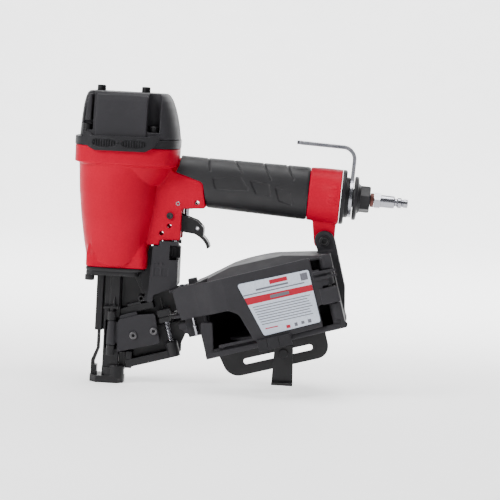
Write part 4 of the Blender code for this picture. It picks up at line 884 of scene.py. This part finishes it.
# ---------------------------------------------------------------- nose
def make_nose():
    """The nose casting that guides the blade, with the rails that the nail strip runs between."""
    nose = plate("nose_body", rectangle((-24.6, -26.6), (28.0, 26.6), 7), 102.9, NOSE_TOP)
    neck = plate("neck", rectangle((-23.6, -25.4), (22.6, 25.4), 6), 101, 103.4)
    lower = plate("lower", rectangle((-24.2, -26.4), (23.6, 26.4), 7), FLANGE_LOW, 101.8)
    back = side_plate("back", rounded([
        (0, -34, 0), (50, -34, 3), (56.6, -31, 2), (58.4, -24, 2), (68.4, -11, 1), (69, -5, 1), (64.4, 0, 1),
        (64, 27.4, 2), (46, 27.4, 2), (44, 21, 4), (10, 30, 3), (0, 30, 0),
    ]), 2.5, 7.0, MAGAZINE)
    low_rail = box("low_rail", (6, -8, -34), (47, 4, -27), MAGAZINE)
    cut(join(back, low_rail), box("foot_way", (-20, -20, 0), (13.2, 20, FOOT_BOSS + ARM_TRAVEL + 1)))
    solids = [
        box("column", (-7, -8, NOSE_LOW), (7, 8, FLANGE_LOW + 2)),
        box("high_rail", (9, -6, 13.5), (42.8, 4, 19.5), MAGAZINE),
        box("boss_foot", (44, -6, -33.5), (LATCH_U, 4, -28), MAGAZINE),
        rod("boss", 5.6, -33.5, -19.6, MAGAZINE, at=(LATCH_U, -6, 0)),
        box("front_rib", (-2.4, -9.8, 70), (6.2, -7, FLANGE_LOW + 2)),
        box("rail_end", (13.6, -6.6, 13.6), (19.4, 3, 29)),
        box("web", (-9.6, -1.6, 47), (-5, 1.6, FLANGE_LOW + 1)),
        box("guide", (-15.6, -4.6, 46.5), (-9.2, 4.6, FLANGE_LOW + 1)),
        side_plate("strut", [(17.5, 99.5), (21.5, 99.5), (29.2, 82.6), (26.2, 81.4)], -6.0, 4.0),
        side_plate("curtain", [(4, 100), (22, 100), (28.6, 84), (26, 62), (4, 56)], 1.0, 4.0),
        side_plate("arm", [(12.5, 71.2), (13.2, 69.0), (26, 72.0), (25, 75.0)], -5.0, 3.0),
        ring("web_boss", 1.3, 3.0, -7.2, 3.0, at=(25.4, 0, 77.6), turn=ACROSS),
    ]
    for low, high in [(57.4, 65.6), (25.4, 34.8)]:
        solids.append(rod("knuckle", 3.9, low, high, at=DOOR_PIN))
        solids.append(box("bridge", (PIN_X - 3, PIN_Y + 1, low), (PIN_X + 3, -6, high)))
    join(nose, neck, lower, back, *solids)
    cutters = [
        rod("channel", CHANNEL, 0, 110),
        box("door_way", (-CHANNEL, -9, 31), (CHANNEL, 0, 56.8)),
        box("feed_way", (2, -9, -17.4), (14, 2.4, 12.5), MAGAZINE),
        rod("hinge_bore", 2.0, 10, 70, at=DOOR_PIN),
        box("pawl_way", (16, 0, -4), (73, 12, 6), MAGAZINE),
        rod("latch_bore", 2.3, -31, 0, MAGAZINE, at=(LATCH_U, -6, 0)),
        box("leg_way", (-13.7, -3.1, 40), (-10.1, 3.1, 90.6)),
    ]
    for x, y in NOSE_SCREWS:
        cutters.append(rod("hole", 2.9, 80, 112, at=(x, y, 0)))
    cut(nose, *cutters)
    show(cast(nose, 0.45, 2, 0.3), "black_steel", "nose_body")


def make_door():
    """The door that opens the nail channel, its hinge pin with a T-shaped head, and two rivets."""
    outline = rounded([
        (6.2, 28.6, 1.5), (44.6, 38.7, 2), (38.6, 65.0, 2), (23.4, 63.0, 1.5), (6.2, 57.4, 1.5),
    ])
    door = side_plate("nose_door", outline, -12.4, -8.4)
    step = rounded([(7.0, 54, 0), (22.4, 58, 0), (22.6, 66.0, 1), (7.6, 61.4, 1)])
    ledge = side_plate("ledge", step, -10.8, -8.4)
    knuckle = lathe("knuckle", [
        (0, 57.0), (2.9, 57.0), (3.3, 56.4), (3.9, 46), (4.2, 36.2), (4.0, 35.2), (0, 35.2),
    ], at=DOOR_PIN)
    bridge = box("bridge", (PIN_X, PIN_Y + 0.2, 36.5), (7.5, -8.6, 55.5))
    join(door, ledge, bridge, knuckle)
    cut(door, rod("bore", 2.0, 20, 70, at=DOOR_PIN))
    show(edged(door, 0.5), "grey_plastic", "nose_door")
    pin = rod("door_hinge_pin", 1.7, 25.6, 70.0, at=DOOR_PIN)
    bar = rod("bar", 1.75, -6.4, 6.4, at=(PIN_X - 1.4, PIN_Y, 68.8), turn=REARWARD)
    point = [(0, 78.4), (0.5, 78), (1.2, 74), (1.2, 68.6), (0, 68.6)]
    spike = lathe("spike", point, at=(PIN_X + 1.8, PIN_Y, 0))
    show(edged(join(pin, bar, spike), 0.3), "black_steel", "door_hinge_pin")
    under = 12.4 + GAP
    head = [(1.5, 14.1), (1.8, 14.4), (2.7, 14.4), (3.2, 14.1), (3.4, 13.5), (3.4, under), (1.5, under)]
    for name, x, z in [("door_rivet_front", 20.4, 44.4), ("door_rivet_rear", 38.6, 49.4)]:
        rivet = lathe(name, head, at=(x, 0, z), turn=SIDEWAYS)
        show(edged(rivet, 0.1, 1, 50), "worn_steel", name, slot="black_steel")


def make_latch():
    """The sprung latch beside the door: a grip block on a pin that slides in the nose's boss."""
    at = (LATCH_U, -6, 0)
    stem = [(0, 20.6), (0.8, 20.6), (0.8, 8), (1.2, 7), (1.2, -26), (0, -26)]
    pin = lathe("door_latch", stem, MAGAZINE, at=at)
    join(
        pin,
        box("block", (45.2, -15.6, 4.9), (56.6, -3.4, 10.7), MAGAZINE),
        box("lower", (45.6, -14.8, -0.6), (55.4, -3.4, 3.7), MAGAZINE),
        box("neck", (46.6, -13.6, 3), (54.4, -4, 6), MAGAZINE),
    )
    show(edged(pin, 0.6, 3), "black_steel", "door_latch")


def make_springs():
    """The four compression springs."""
    latch = (LATCH_U, -6, 0)
    valve, arm = (VALVE_X, 0, 0), (ARM_SPRING_X, 0, 0)
    springs = [
        ("head_valve_spring", "head_valve_lift", 14, 1.2, 216.4, 249.6, 5, BASE, (0, 0, 0), 249.6, 3.0),
        ("trigger_valve_spring", "valve_stem_lift", 4.2, 0.6, 172.9, 183.4, 4, BASE, valve, 183.4, 2.5),
        ("arm_spring", "contact_arm_press", 3.2, 0.7, 92.9, 126.9, 8, BASE, arm, 126.9, ARM_TRAVEL),
        ("latch_spring", "door_latch_slide", 2.0, 0.42, -19.3, -0.9, 14, MAGAZINE, latch, -19.3, 4.5),
    ]
    for node, joint, radius, gauge, low, high, turns, where, at, fixed, travel in springs:
        spring = coil(node, radius, gauge, low, high, turns, where, at)
        spring.data.shade_smooth()
        show(spring, "steel", node)
        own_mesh(spring)


def make_foot():
    """The foot that is pressed on the work, with the leg that slides in the nose."""
    base = rounded([
        (-18.2, -6, 2), (-12, -12.9, 2), (7, -12.9, 2), (12.6, -7, 2), (12.6, 7, 2), (7, 12.9, 2),
        (-12, 12.9, 2), (-18.2, 6, 2),
    ])
    foot = plate("contact_foot", base, 0, 6.4)
    leg = side_plate("leg", [
        (-17.8, 12), (-14.6, 12), (-14.6, 18), (-10.6, 30), (-10.6, 80), (-13.2, 80), (-13.2, 30.6),
        (-17.8, 19),
    ], -2.7, 2.7)
    taper = [(0, FOOT_BOSS), (7.0, FOOT_BOSS), (7.4, FOOT_BOSS - 0.6), (7.8, 4), (0, 4)]
    join(
        foot,
        plate("boss", squircle(2.2, 10.0, 11.6, 3.0, 60), 5, FOOT_BOSS - 2.4),
        lathe("cup", taper, at=(5.4, -5.4, 0)),
        box("heel", (7.0, -4, 12), (13.0, 2.2, 27.4)),
        box("toe", (-17.6, -4.2, 5), (-12.4, 4.2, 15)),
        box("toe_cap", (-17.0, -6.4, 5), (-11.6, -3.4, 9.4)),
        leg,
    )
    cut(foot, box("nose_way", (-7.4, -8.6, -2), (7.4, 8.6, 30)))
    show(edged(foot, 0.6, 3), "black_steel", "contact_foot")


def make_link():
    """The link that carries the foot's motion up to the depth wheel."""
    edge = WHEEL_X + 3.9
    link = side_plate("contact_link", rounded([
        (-5.5, 2, 1), (6, 2, 1), (6, 56, 4), (30, 73, 4), (44, 84, 3), (edge, 88, 2), (edge, 115, 1),
        (44, 115, 1), (44, 95, 3), (24, 80, 4), (0, 66, 4), (-5.5, 60, 3),
    ]), 13.2, 15.2)
    join(link, box("shelf", (44, -5, 112.4), (edge, 14.5, 115)),
         box("spring_seat", (33, -4.5, 90.4), (50.5, 14.5, 92.6)))
    cut(link, rod("stud_hole", 2.9, 100, 120, at=(WHEEL_X, 0, 0)))
    show(edged(link, 0.4), "black_steel", "contact_link")


def make_depth_wheel():
    """The knurled depth wheel and the rod that it sets."""
    wheel = [(2.8, 127.0), (6.2, 127.0), (7.2, 126.2), (7.2, 116.2), (6.2, 115.4), (2.8, 115.4)]
    thumb = lathe("depth_wheel", wheel, at=(WHEEL_X, 0, 0), steps=96)
    spots = [(x, y, 0) for x, y in circle(WHEEL_X, 0, 7.5, 18)]
    cut(thumb, *[rod("flute", 0.75, 110, 130, at=spot, steps=16) for spot in spots])
    show(edged(thumb, 0.15, 1), "black_plastic", "depth_wheel")
    trip = [(0, 142.0), (2.9, 142.0), (3.4, 141.5), (3.4, 139.8), (2.4, 139.0), (2.4, 104), (0, 104)]
    show(edged(lathe("trip_rod", trip, at=(WHEEL_X, 0, 0)), 0.1, 1, 50), "steel", "trip_rod")


GUARD = [
    (31.6, 75.2, 1), (36.6, 77.2, 1), (36.8, 82.4, 1), (48.2, 87.4, 1), (57.6, 90.4, 2), (57.6, 131.2, 1.5),
    (40.4, 131.2, 0.5), (40.4, 126.6, 0.5), (34.6, 126.6, 1),
]


def make_guard():
    """The moulded cover over the contact arm's upper end, with a vent row and a sunk window, and a darker
    sheet inside it as painted shade.
    """
    guard = side_plate("arm_guard", rounded(GUARD), -17.6, 17.6)
    cut(guard, box("inside", (20, -15.8, 60), (55.8, 15.8, 140)))
    cutters = [
        box("wheel_window", (49.5, -30, 114.6), (70, 30, 127.8)),
        box("wheel_way", (49.5, -9, 120), (70, 9, 140)),
    ]
    for side in (-1, 1):
        near, far = sorted([side * 17.0, side * 19])
        for x in (37.2, 41.0, 44.8):
            cutters.append(box("vent", (x - 0.9, near, 110.2), (x + 0.9, far, 112.0)))
        for x in (36.5, 43.5):
            outline = rectangle((x, 99.4), (x + 5.6, 107.4), 1)
            cutters.append(side_plate("sunk", outline, near, far))
    cut(guard, *cutters)
    show(edged(guard, 0.4, 2), "grey_plastic", "arm_guard")
    # A sheet in darker black plastic than the guard, behind its open front: painted shade where the inside
    # of the guard lies in shadow.
    shade_wall = side_plate("guard_shade_wall", [
        (27, 125.6), (37, 125.6), (37, 80), (32, 75.4), (27.4, 75.4), (28.8, 82.4), (20, 103), (27, 103),
    ], -7.4, -5.4)
    show(edged(shade_wall, 0.3), "black_plastic", "arm_guard", name="guard_shade_wall", slot="black_plastic")


# ---------------------------------------------------------------- magazine
def drum_outline(inset=0.0, front=DRUM_FRONT_Y, count=64):
    """The drum's plan: half an ellipse on the far side, square on the side that the cover closes."""
    half_u, half_y = DRUM_HALF_U - inset, DRUM_HALF_Y - inset
    far = [(DRUM_U + half_u * math.cos(t), half_y * math.sin(t)) for t in steps_of(0, math.pi, count)]
    return [(DRUM_U - half_u, front), (DRUM_U + half_u, front), *far]


def make_magazine():
    """The fixed half of the coil canister, its throat, rear spine and the fork that bolts to the handle."""
    drum = plate("magazine_body", drum_outline(), DRUM_LOW, DRUM_HIGH, MAGAZINE)
    dome_rings = [
        [(u, y, DRUM_HIGH - 0.5) for u, y in drum_outline(0.6, front=-44.6)],
        [(DRUM_U + (u - DRUM_U) * 0.4 - 4, 4 + y * 0.64, DRUM_HIGH + 7.4) for u, y in drum_outline(2)],
    ]
    join(
        drum,
        loft("dome", dome_rings, MAGAZINE),
        box("throat", (61, -24, 1.0), (100, 12.5, DRUM_HIGH - 1.5), MAGAZINE),
    )
    cut(
        drum,
        plate("coil_space", drum_outline(WALL, front=-70), DRUM_LOW + WALL, DRUM_HIGH - 1.8, MAGAZINE),
        box("strip_way", (50, -40, 3.6), (110, 9.8, DRUM_HIGH - 4.2), MAGAZINE),
        box("front_window", (80, -70, -15), (104, -12, 3.4), MAGAZINE),
        box("front_step", (40, -70, -50), (98, -24.4, 50), MAGAZINE),
        box("front_ledge", (97, -70, -50), (114, -44.8, 50), MAGAZINE),
        box("feed_gap", (50, 0, -2), (73, 20, 9.5), MAGAZINE),
    )
    join(drum, *magazine_frame())
    cut(
        drum,
        box("cover_seat", (HINGE_U - 14, -60, -31), (HINGE_U - 3.4, HINGE_Y + 1, 40), MAGAZINE),
        rod("pin_bore", 1.8, -28, 40, MAGAZINE, at=COVER_PIN),
        rod("screw_bore", 3.1, -30, 30, at=LUG_BOLT, turn=ACROSS),
        rod("clearance", 8.2, -13.4, 17.4, MAGAZINE, at=COVER_PIN),
    )
    show(cast(drum, 0.65, 3, 0.35), "grey_plastic", "magazine_body")


def magazine_frame():
    """What the drum carries: the spine and fork, the hinge's seats, the front skirt and the nose lug."""
    au, aw = ARM_PIVOT
    spine = side_plate("spine", rounded([
        (201, -36, 0), (210.6, -36.4, 4), (209.5, -28, 4), (214.6, -6, 6), (215.0, 30, 6), (201, 30, 0),
    ]), -12.5, 12.5, MAGAZINE)
    fork = side_plate("fork", rounded([
        (199, 20, 0), (214.9, 20, 0), (215.0, 30, 6), (au + 9, aw + 9, 8.9), (au - 9, aw + 9, 8.9),
        (198, 30, 4),
    ]), -11.4, 11.4, MAGAZINE)
    cut(fork, box("lug_way", (190, -6.5, 25.0), (225, 6.5, 60), MAGAZINE))
    front = DRUM_FRONT_Y
    solids = [
        spine,
        fork,
        box("cheek", (HINGE_U - 4.5, HINGE_Y - 1, DRUM_LOW), (209, -10, DRUM_HIGH - 1), MAGAZINE),
        box("upper_tab", (206.6, HINGE_Y - 3, 18.6), (209.4, HINGE_Y + 2, 28.4), MAGAZINE),
        side_plate("skirt", rounded([
            (82.2, -38.2, 0.5), (210.6, -37.0, 4), (210.8, -32.2, 1), (188, -31.6, 0), (131, -33.2, 0),
            (82.2, -33.2, 0.5),
        ]), front + 0.2, front + 4, MAGAZINE),
        box("ledge", (95.4, front + 1.0, -31.0), (131, front + 3.4, -28.0), MAGAZINE),
        side_plate("front_lip", rounded([
            (82.2, -36, 0), (82.2, -15, 0), (84.4, -5.4, 1), (94.6, -7.4, 1), (90.2, -30, 1), (90.2, -36, 0),
        ]), front + 3, front + 8, MAGAZINE),
        box("stop", (78.9, -15, 24), (87.0, -7, 32.6), MAGAZINE),
        box("stop_foot", (86, -14, 24), (90.4, -8, 28.2), MAGAZINE),
        box("lug", (67.8, -9.4, -19.4), (90.0, -2, 3.2), MAGAZINE),
        box("lug_tab", (61.0, -8.0, -10.8), (69, -4, -5.4), MAGAZINE),
        side_plate("gusset", [(62.4, -10), (69, -10), (69, -17), (64.6, -15)], -7, -5, MAGAZINE),
    ]
    for low, high in [(17.4, 30), (-28.2, -13.4)]:
        solids.append(rod("boss", 3.4, low, high, MAGAZINE, at=COVER_PIN))
        solids.append(box("boss_face", (HINGE_U - 0.6, HINGE_Y - 3.4, low), (209, HINGE_Y, high), MAGAZINE))
    return solids


def make_magazine_fixings():
    """The cover's hinge pin, the stud and nuts at the throat, and the screw through the lug."""
    pin = rod("cover_hinge_pin", 1.5, -27.4, 30.4, MAGAZINE, at=COVER_PIN)
    show(edged(pin, 0.4), "worn_steel", "cover_hinge_pin", slot="steel")
    stud = [
        (0, 5.0), (1.5, 5.0), (1.5, -8.6), (2.5, -8.8), (2.5, -10.2), (1.9, -10.4), (1.9, -17.6),
        (1.5, -18.4), (0, -18.4),
    ]
    show(edged(lathe("stud", stud, MAGAZINE, at=(76.0, -13.4, 0)), 0.1, 1, 50), "steel", "magazine_body",
         name="throat_stud", slot="steel")
    for u, high in [(72.2, 29.2), (75.6, 28.6)]:
        nut = plate("nut", circle(u, -12, 1.7, 6), 26, high, MAGAZINE)
        show(edged(nut, 0.15), "steel", "magazine_body", name=f"throat_nut_{u:.0f}", slot="steel")
    head = (-15.4, -11.4 - GAP)
    make_screw("magazine_screw", LUG_BOLT, head, 13.4, shank=2.7, radius=4.6, turn=ACROSS)


COVER = [
    (64.4, 26.0, 1.5), (72, 28.8, 3), (191, 30.2, 2), (191, 18.6, 1), (197, 18.4, 1), (197, -11.6, 1),
    (189.5, -12.6, 1), (189.5, -31.4, 1), (131, -33.4, 3), (126.6, -28, 3), (119.4, -5, 8), (111, 0.4, 8),
    (66.6, -0.8, 1), (66.2, 6, 0.5), (64.9, 7, 0.5),
]


def make_cover():
    """The hinged cover of the canister, with knuckles at the rear."""
    outside = rounded([
        (56, -28, 0), (84, -35, 12), (97, -48.4, 14), (112, -50.6, 12), (197, -50.6, 0), (197, -20, 0),
        (56, -20, 0),
    ], 14)
    cover = plate("magazine_cover", outside, -40, 36, MAGAZINE)
    keep(cover, side_plate("face", rounded(COVER, 10), -60, -15, MAGAZINE))
    inside = rounded([
        (40, -24.8, 0), (83, -31.8, 9), (96, -45.2, 9), (112, -47.6, 9), (230, -47.6, 0), (230, 0, 0),
        (40, 0, 0),
    ], 10)
    cut(cover, plate("inside", inside, -50, 50, MAGAZINE))
    parts = []
    for low, high in [(3.6, 17.0), (-13.0, 1.4)]:
        parts.append(rod("knuckle", 4.6, low, high, MAGAZINE, at=COVER_PIN))
        parts.append(box("bridge", (194, -50.4, low), (HINGE_U, HINGE_Y - 0.4, high), MAGAZINE))
    for low, high in [(14.6, 17.0), (10.0, 12.4)]:
        bar = [(190.5, -53), (211.4, -53), (211.4, -52.1), (204, -52.1), (204, -48.6), (190.5, -48.6)]
        parts.append(plate("bar", bar, low, high, MAGAZINE))
    pad = [(193.4, -53), (209.2, -53), (209.2, -52.1), (204, -52.1), (204, -47.2), (193.4, -47.2)]
    parts.append(plate("pad", pad, -12.4, 1.6, MAGAZINE))
    join(cover, *parts)
    cut(cover, rod("bore", 1.8, -50, 50, MAGAZINE, at=COVER_PIN))
    show(cast(cover, 0.5, 4, 0.35), "grey_plastic", "magazine_cover")


def make_cover_latch():
    """The catch under the cover, and the platform inside that the coil of nails stands on."""
    latch = box("cover_latch", (130, -54.6, -40.4), (160, -50.9, -30.4), MAGAZINE)
    join(latch, box("hook", (134, -52.5, -40.0), (156, -44.6, -37.4), MAGAZINE))
    cut(latch, box("groove", (138.2, -60, -45), (139.0, -54.0, -25), MAGAZINE),
        box("groove", (148.6, -60, -45), (149.4, -54.0, -25), MAGAZINE))
    show(edged(latch, 0.4), "black_plastic", "cover_latch")
    platform = [(0, -27.6), (44, -27.6), (44, -30.0), (8, -30.0), (8, -32.6), (0, -32.6)]
    piece = lathe("nail_platform", platform, MAGAZINE, at=(DRUM_U, 3, 0), steps=96)
    show(edged(piece, 0.4), "black_plastic", "nail_platform")


LABEL = [(123.7, 21.4, 2), (187.9, 20.6, 2), (188.4, -26.6, 2), (137.2, -28.0, 2)]


def label_left(w):
    """Where the label's slanting left edge is at height w."""
    (top_u, top_w, _), (low_u, low_w, _) = LABEL[0], LABEL[3]
    return top_u + (low_u - top_u) * (top_w - w) / (top_w - low_w)


def print_bar(u0, u1, w0, w1):
    """A plain upright bar in the label's print."""
    return side_plate("print", [(u0, w0), (u1, w0), (u1, w1), (u0, w1)], PRINT_HIGH, PRINT_LOW, MAGAZINE)


def make_label():
    """A film label with a red band and rows of plain bars where the real one is printed."""
    film = side_plate("label", rounded(LABEL), LABEL_Y - 0.35, LABEL_Y - 0.05, MAGAZINE)
    show(edged(film, 0.1, 1), "label_paper", "label")
    band = [(label_left(8.0), 8.0), (187.95, 7.2), (188.05, 1.8), (label_left(1.6), 1.6)]
    red_bars = [(152, 168, 15.6, 19.2), (139.5, 151, -22.6, -21.6), (158, 161.6, -25.8, -23.0)]
    red = side_plate("print", band, PRINT_HIGH, PRINT_LOW, MAGAZINE)
    join(red, *[print_bar(*bar) for bar in red_bars])
    show(red, "print_red", "label", name="label_print_red", slot="label_paper")
    bars = [(139, 168, 12.4, 14.0), (127, 182, 9.8, 10.8), (179.6, 186.0, 12.4, 18.8)]
    for row in range(8):
        w = -1.0 - row * 2.35
        bars.append((label_left(w) + 3.0, 184.5 - (row * 7) % 4, w - 0.75, w))
    bars += [(165.5, 168.2, -25.6, -22.4), (171.6, 174.4, -25.0, -22.4), (177.6, 180.6, -25.2, -22.0)]
    dark = [print_bar(*bar) for bar in bars]
    on_band = [(150, 3.2), (167, 3.4), (167, 6.2), (150, 6.0)]
    dark.append(side_plate("print", on_band, PRINT_HIGH - 0.06, PRINT_LOW, MAGAZINE))
    show(join(*dark), "print_dark", "label", name="label_print_dark", slot="label_paper")


def make_feed():
    """The air-driven feeder on the far side of the nose, which pulls the strip on by one nail."""
    at = (0, 24, 0)
    body = [
        (3.6, 54), (12.2, 54), (13, 53.2), (13, 20), (12, 18.5), (3.2, 18.5), (3.2, 21), (10.6, 21),
        (10.6, 51.5), (3.6, 51.5),
    ]
    cylinder = lathe("feed_cylinder", body, MAGAZINE, at, REARWARD)
    join(cylinder, box("shroud", (51.7, 28, -10.5), (71, 29.4, 10), MAGAZINE))
    show(edged(cylinder, 0.3), "black_steel", "feed_cylinder")
    piston = [(0, 64), (3.2, 64), (3.2, 42), (10.3, 42), (10.3, 36), (2.8, 36), (2.8, 14), (0, 14)]
    feed = lathe("feed_piston", piston, MAGAZINE, at, REARWARD)
    pivot = (*PAWL_PIVOT, 0)
    join(
        feed,
        box("head", (57.5, 10.4, -1.4), (64, 24, 4.5), MAGAZINE),
        box("lug", (58.4, 5.2, -1.4), (63.4, 10.7, 0.3), MAGAZINE),
        rod("pivot", 1.2, 0, 4.2, MAGAZINE, at=pivot),
    )
    show(edged(feed, 0.25), "worn_steel", "feed_piston", slot="steel")
    pawl = rounded([(63.4, 9.2, 1), (58.2, 9.2, 1), (47.0, 2.2, 0.4), (50.0, 0.6, 0.4), (63.4, 5.2, 1)])
    tooth = plate("feed_pawl", pawl, 0.6, 3.0, MAGAZINE)
    cut(tooth, rod("eye", 1.5, -2, 6, MAGAZINE, at=pivot))
    show(edged(tooth, 0.2), "worn_steel", "feed_pawl", slot="steel")


def make_gauge_plate():
    """The shingle gauge's slotted plate, fixed under the magazine."""
    outline = rounded([(92, -36.6, 0), (189.5, -36.6, 0), (189.5, -60.5, 12), (97, -60.5, 14)], 12)
    bracket = side_plate("gauge_plate", outline, GAUGE_Y - 1.2, GAUGE_Y + 1.2, MAGAZINE)
    hole = rectangle((112.6, GAUGE_SLOT_W - 2.6), (175.4, GAUGE_SLOT_W + 2.6), 2.55, 10)
    cut(bracket, side_plate("slot", hole, GAUGE_Y - 5, GAUGE_Y + 5, MAGAZINE))
    join(bracket, box("flange", (100, GAUGE_Y - 1.0, -39.0), (182, GAUGE_Y + 22, -36.6), MAGAZINE))
    cut(bracket, *[rod("hole", 2.3, -50, -30, MAGAZINE, at=(u, GAUGE_Y + 14, 0)) for u in (110, 172)])
    show(edged(bracket, 0.4), "black_steel", "gauge_plate")


def make_gauge_strap():
    """The strap that slides along the plate, with the screw and knob that clamp it."""
    x, z = magazine_point(GAUGE_SCREW_U, GAUGE_SLOT_W)
    near, far = GAUGE_Y - 3.4, GAUGE_Y - 1.2 - GAP
    face = rounded([(x - 8.2, z + 7.0, 2), (x - 9.4, 12.8, 0), (x + 9.4, 12.8, 0), (x + 8.2, z + 7.0, 2)])
    strap = side_plate("gauge_strap", face, near, far)
    join(strap, box("toe", (x - 9.4, near - 6.5, 11.0), (x + 9.4, far, 13.4)))
    cut(strap, rod("hole", 2.5, -60, 0, at=(x, 0, z), turn=ACROSS))
    show(edged(strap, 0.5, 3), "black_steel", "gauge_strap")
    screw = [(0, 1.3), (3.7, 1.3), (4.2, 0.8), (4.2, GAP), (2.2, GAP), (2.2, -11.4), (0, -11.4)]
    gauge_screw = lathe("gauge_screw", screw, at=(x, near, z), turn=SIDEWAYS)
    show(edged(gauge_screw, 0.15, 2, 40), "black_steel", "gauge_screw")
    knob = [(2.5, 6.6), (6.8, 6.6), (7.6, 5.6), (7.6, 1.2 + GAP), (2.5, 1.2 + GAP)]
    wheel = lathe("gauge_knob", knob, at=(x, GAUGE_Y, z), turn=ACROSS)
    spots = [(fx, GAUGE_Y, fz) for fx, fz in circle(x, z, 8.0, 12)]
    cut(wheel, *[rod("flute", 1.1, -2, 12, at=spot, turn=ACROSS, steps=16) for spot in spots])
    show(edged(wheel, 0.3), "black_plastic", "gauge_knob")


def make_blade():
    """The driver blade, which comes down the nose's channel."""
    blade = rod("driver_blade", BLADE_RADIUS, BLADE_TIP, PISTON_LOW + 5.7)
    show(edged(blade, 0.3), "steel", "driver_blade")


def dress_inner_parts():
    """The drive parts inside the barrel keep their CAD shape and take their finish here."""
    inner = {
        "cylinder_sleeve": "aluminium", "piston": "aluminium", "piston_seal": "rubber", "bumper": "rubber",
        "head_valve": "black_plastic", "trigger_valve_body": "aluminium",
    }
    for node, material in inner.items():
        mesh = frame["nodes"][node].data
        mesh.materials.clear()
        mesh.materials.append(MATERIALS[material])


# ---------------------------------------------------------------- stage
def make_stage():
    """A pale floor that sweeps up behind, and soft light from above, the left and the right."""
    profile = [(-3.0, 0.0), (1.6, 0.0)]
    profile += [(1.6 + 1.2 * math.sin(t), 1.2 - 1.2 * math.cos(t)) for t in steps_of(0.05, math.pi / 2, 24)]
    profile += [(2.8, 4.0)]
    points, faces = [], []
    for y, z in profile:
        points += [(-5, y, z), (5, y, z)]
    for i in range(len(profile) - 1):
        faces.append((2 * i, 2 * i + 1, 2 * i + 3, 2 * i + 2))
    floor = solid("floor", points, faces, Matrix.Identity(4))
    floor.data.shade_smooth()
    floor.data.materials.append(MATERIALS["floor"])
    glow = MATERIALS["floor"].node_tree.nodes["Principled BSDF"]
    glow.inputs["Emission Color"].default_value = (1, 1, 1, 1)
    glow.inputs["Emission Strength"].default_value = 0.85

    world = bpy.data.worlds.new("studio")
    world.use_nodes = True
    world.node_tree.nodes["Background"].inputs["Color"].default_value = (0.95, 0.97, 1.0, 1)
    world.node_tree.nodes["Background"].inputs["Strength"].default_value = 0.20
    bpy.context.scene.world = world
    lamps = [
        ("key", (-1.3, -1.25, 1.1), 0.6, 44, (0, 0, 0.13)),
        ("top", (0.1, -0.1, 1.6), 0.9, 26, (0, 0, 0.13)),
        ("rim", (0.9, 1.4, 1.1), 1.0, 16, (0, 0, 0.13)),
        ("backdrop", (0, 0.9, 1.5), 2.2, 110, (0, 2.6, 0.5)),
    ]
    for name, at, size, power, aim in lamps:
        light = bpy.data.lights.new(name, "AREA")
        light.size = size
        light.energy = power
        lamp = bpy.data.objects.new(name, light)
        lamp.location = at
        lamp.rotation_euler = (Vector(aim) - Vector(at)).to_track_quat("-Z", "Y").to_euler()
        bpy.context.scene.collection.objects.link(lamp)


def make_camera():
    """A long lens a little to the right and a little above, rolled so that the magazine's rear drops."""
    azimuth, height, roll = math.radians(2.5), math.radians(5.0), math.radians(3.1)
    target, distance = Vector((0.010984, -0.0012, 0.1264)), 2.0
    back = Vector((
        math.sin(azimuth) * math.cos(height), -math.cos(azimuth) * math.cos(height), math.sin(height),
    ))
    right = (-back).cross(Vector((0, 0, 1))).normalized()
    up = right.cross(-back)
    x_axis = right * math.cos(roll) + up * math.sin(roll)
    y_axis = up * math.cos(roll) - right * math.sin(roll)
    camera = bpy.data.cameras.new("camera")
    camera.lens = 160
    camera.sensor_width = 36
    holder = bpy.data.objects.new("camera", camera)
    turn = Matrix((x_axis, y_axis, back)).transposed().to_4x4()
    holder.matrix_world = Matrix.Translation(target + back * distance) @ turn
    bpy.context.scene.collection.objects.link(holder)
    bpy.context.scene.camera = holder


make_camera()
make_stage()
make_housing()
make_grip()
make_cap()
make_cap_band()
make_grille("exhaust_grille_left", -1)
make_grille("exhaust_grille_right", 1)
make_head_screws()
make_trigger()
make_trip_lever()
make_valve_stem()
make_end_cap()
make_hook()
make_swivel()
make_air_plug()
make_nose()
make_door()
make_latch()
make_foot()
make_link()
make_depth_wheel()
make_guard()
make_magazine()
make_magazine_fixings()
make_cover()
make_cover_latch()
make_label()
make_feed()
make_gauge_plate()
make_gauge_strap()
make_blade()
make_springs()
dress_inner_parts()
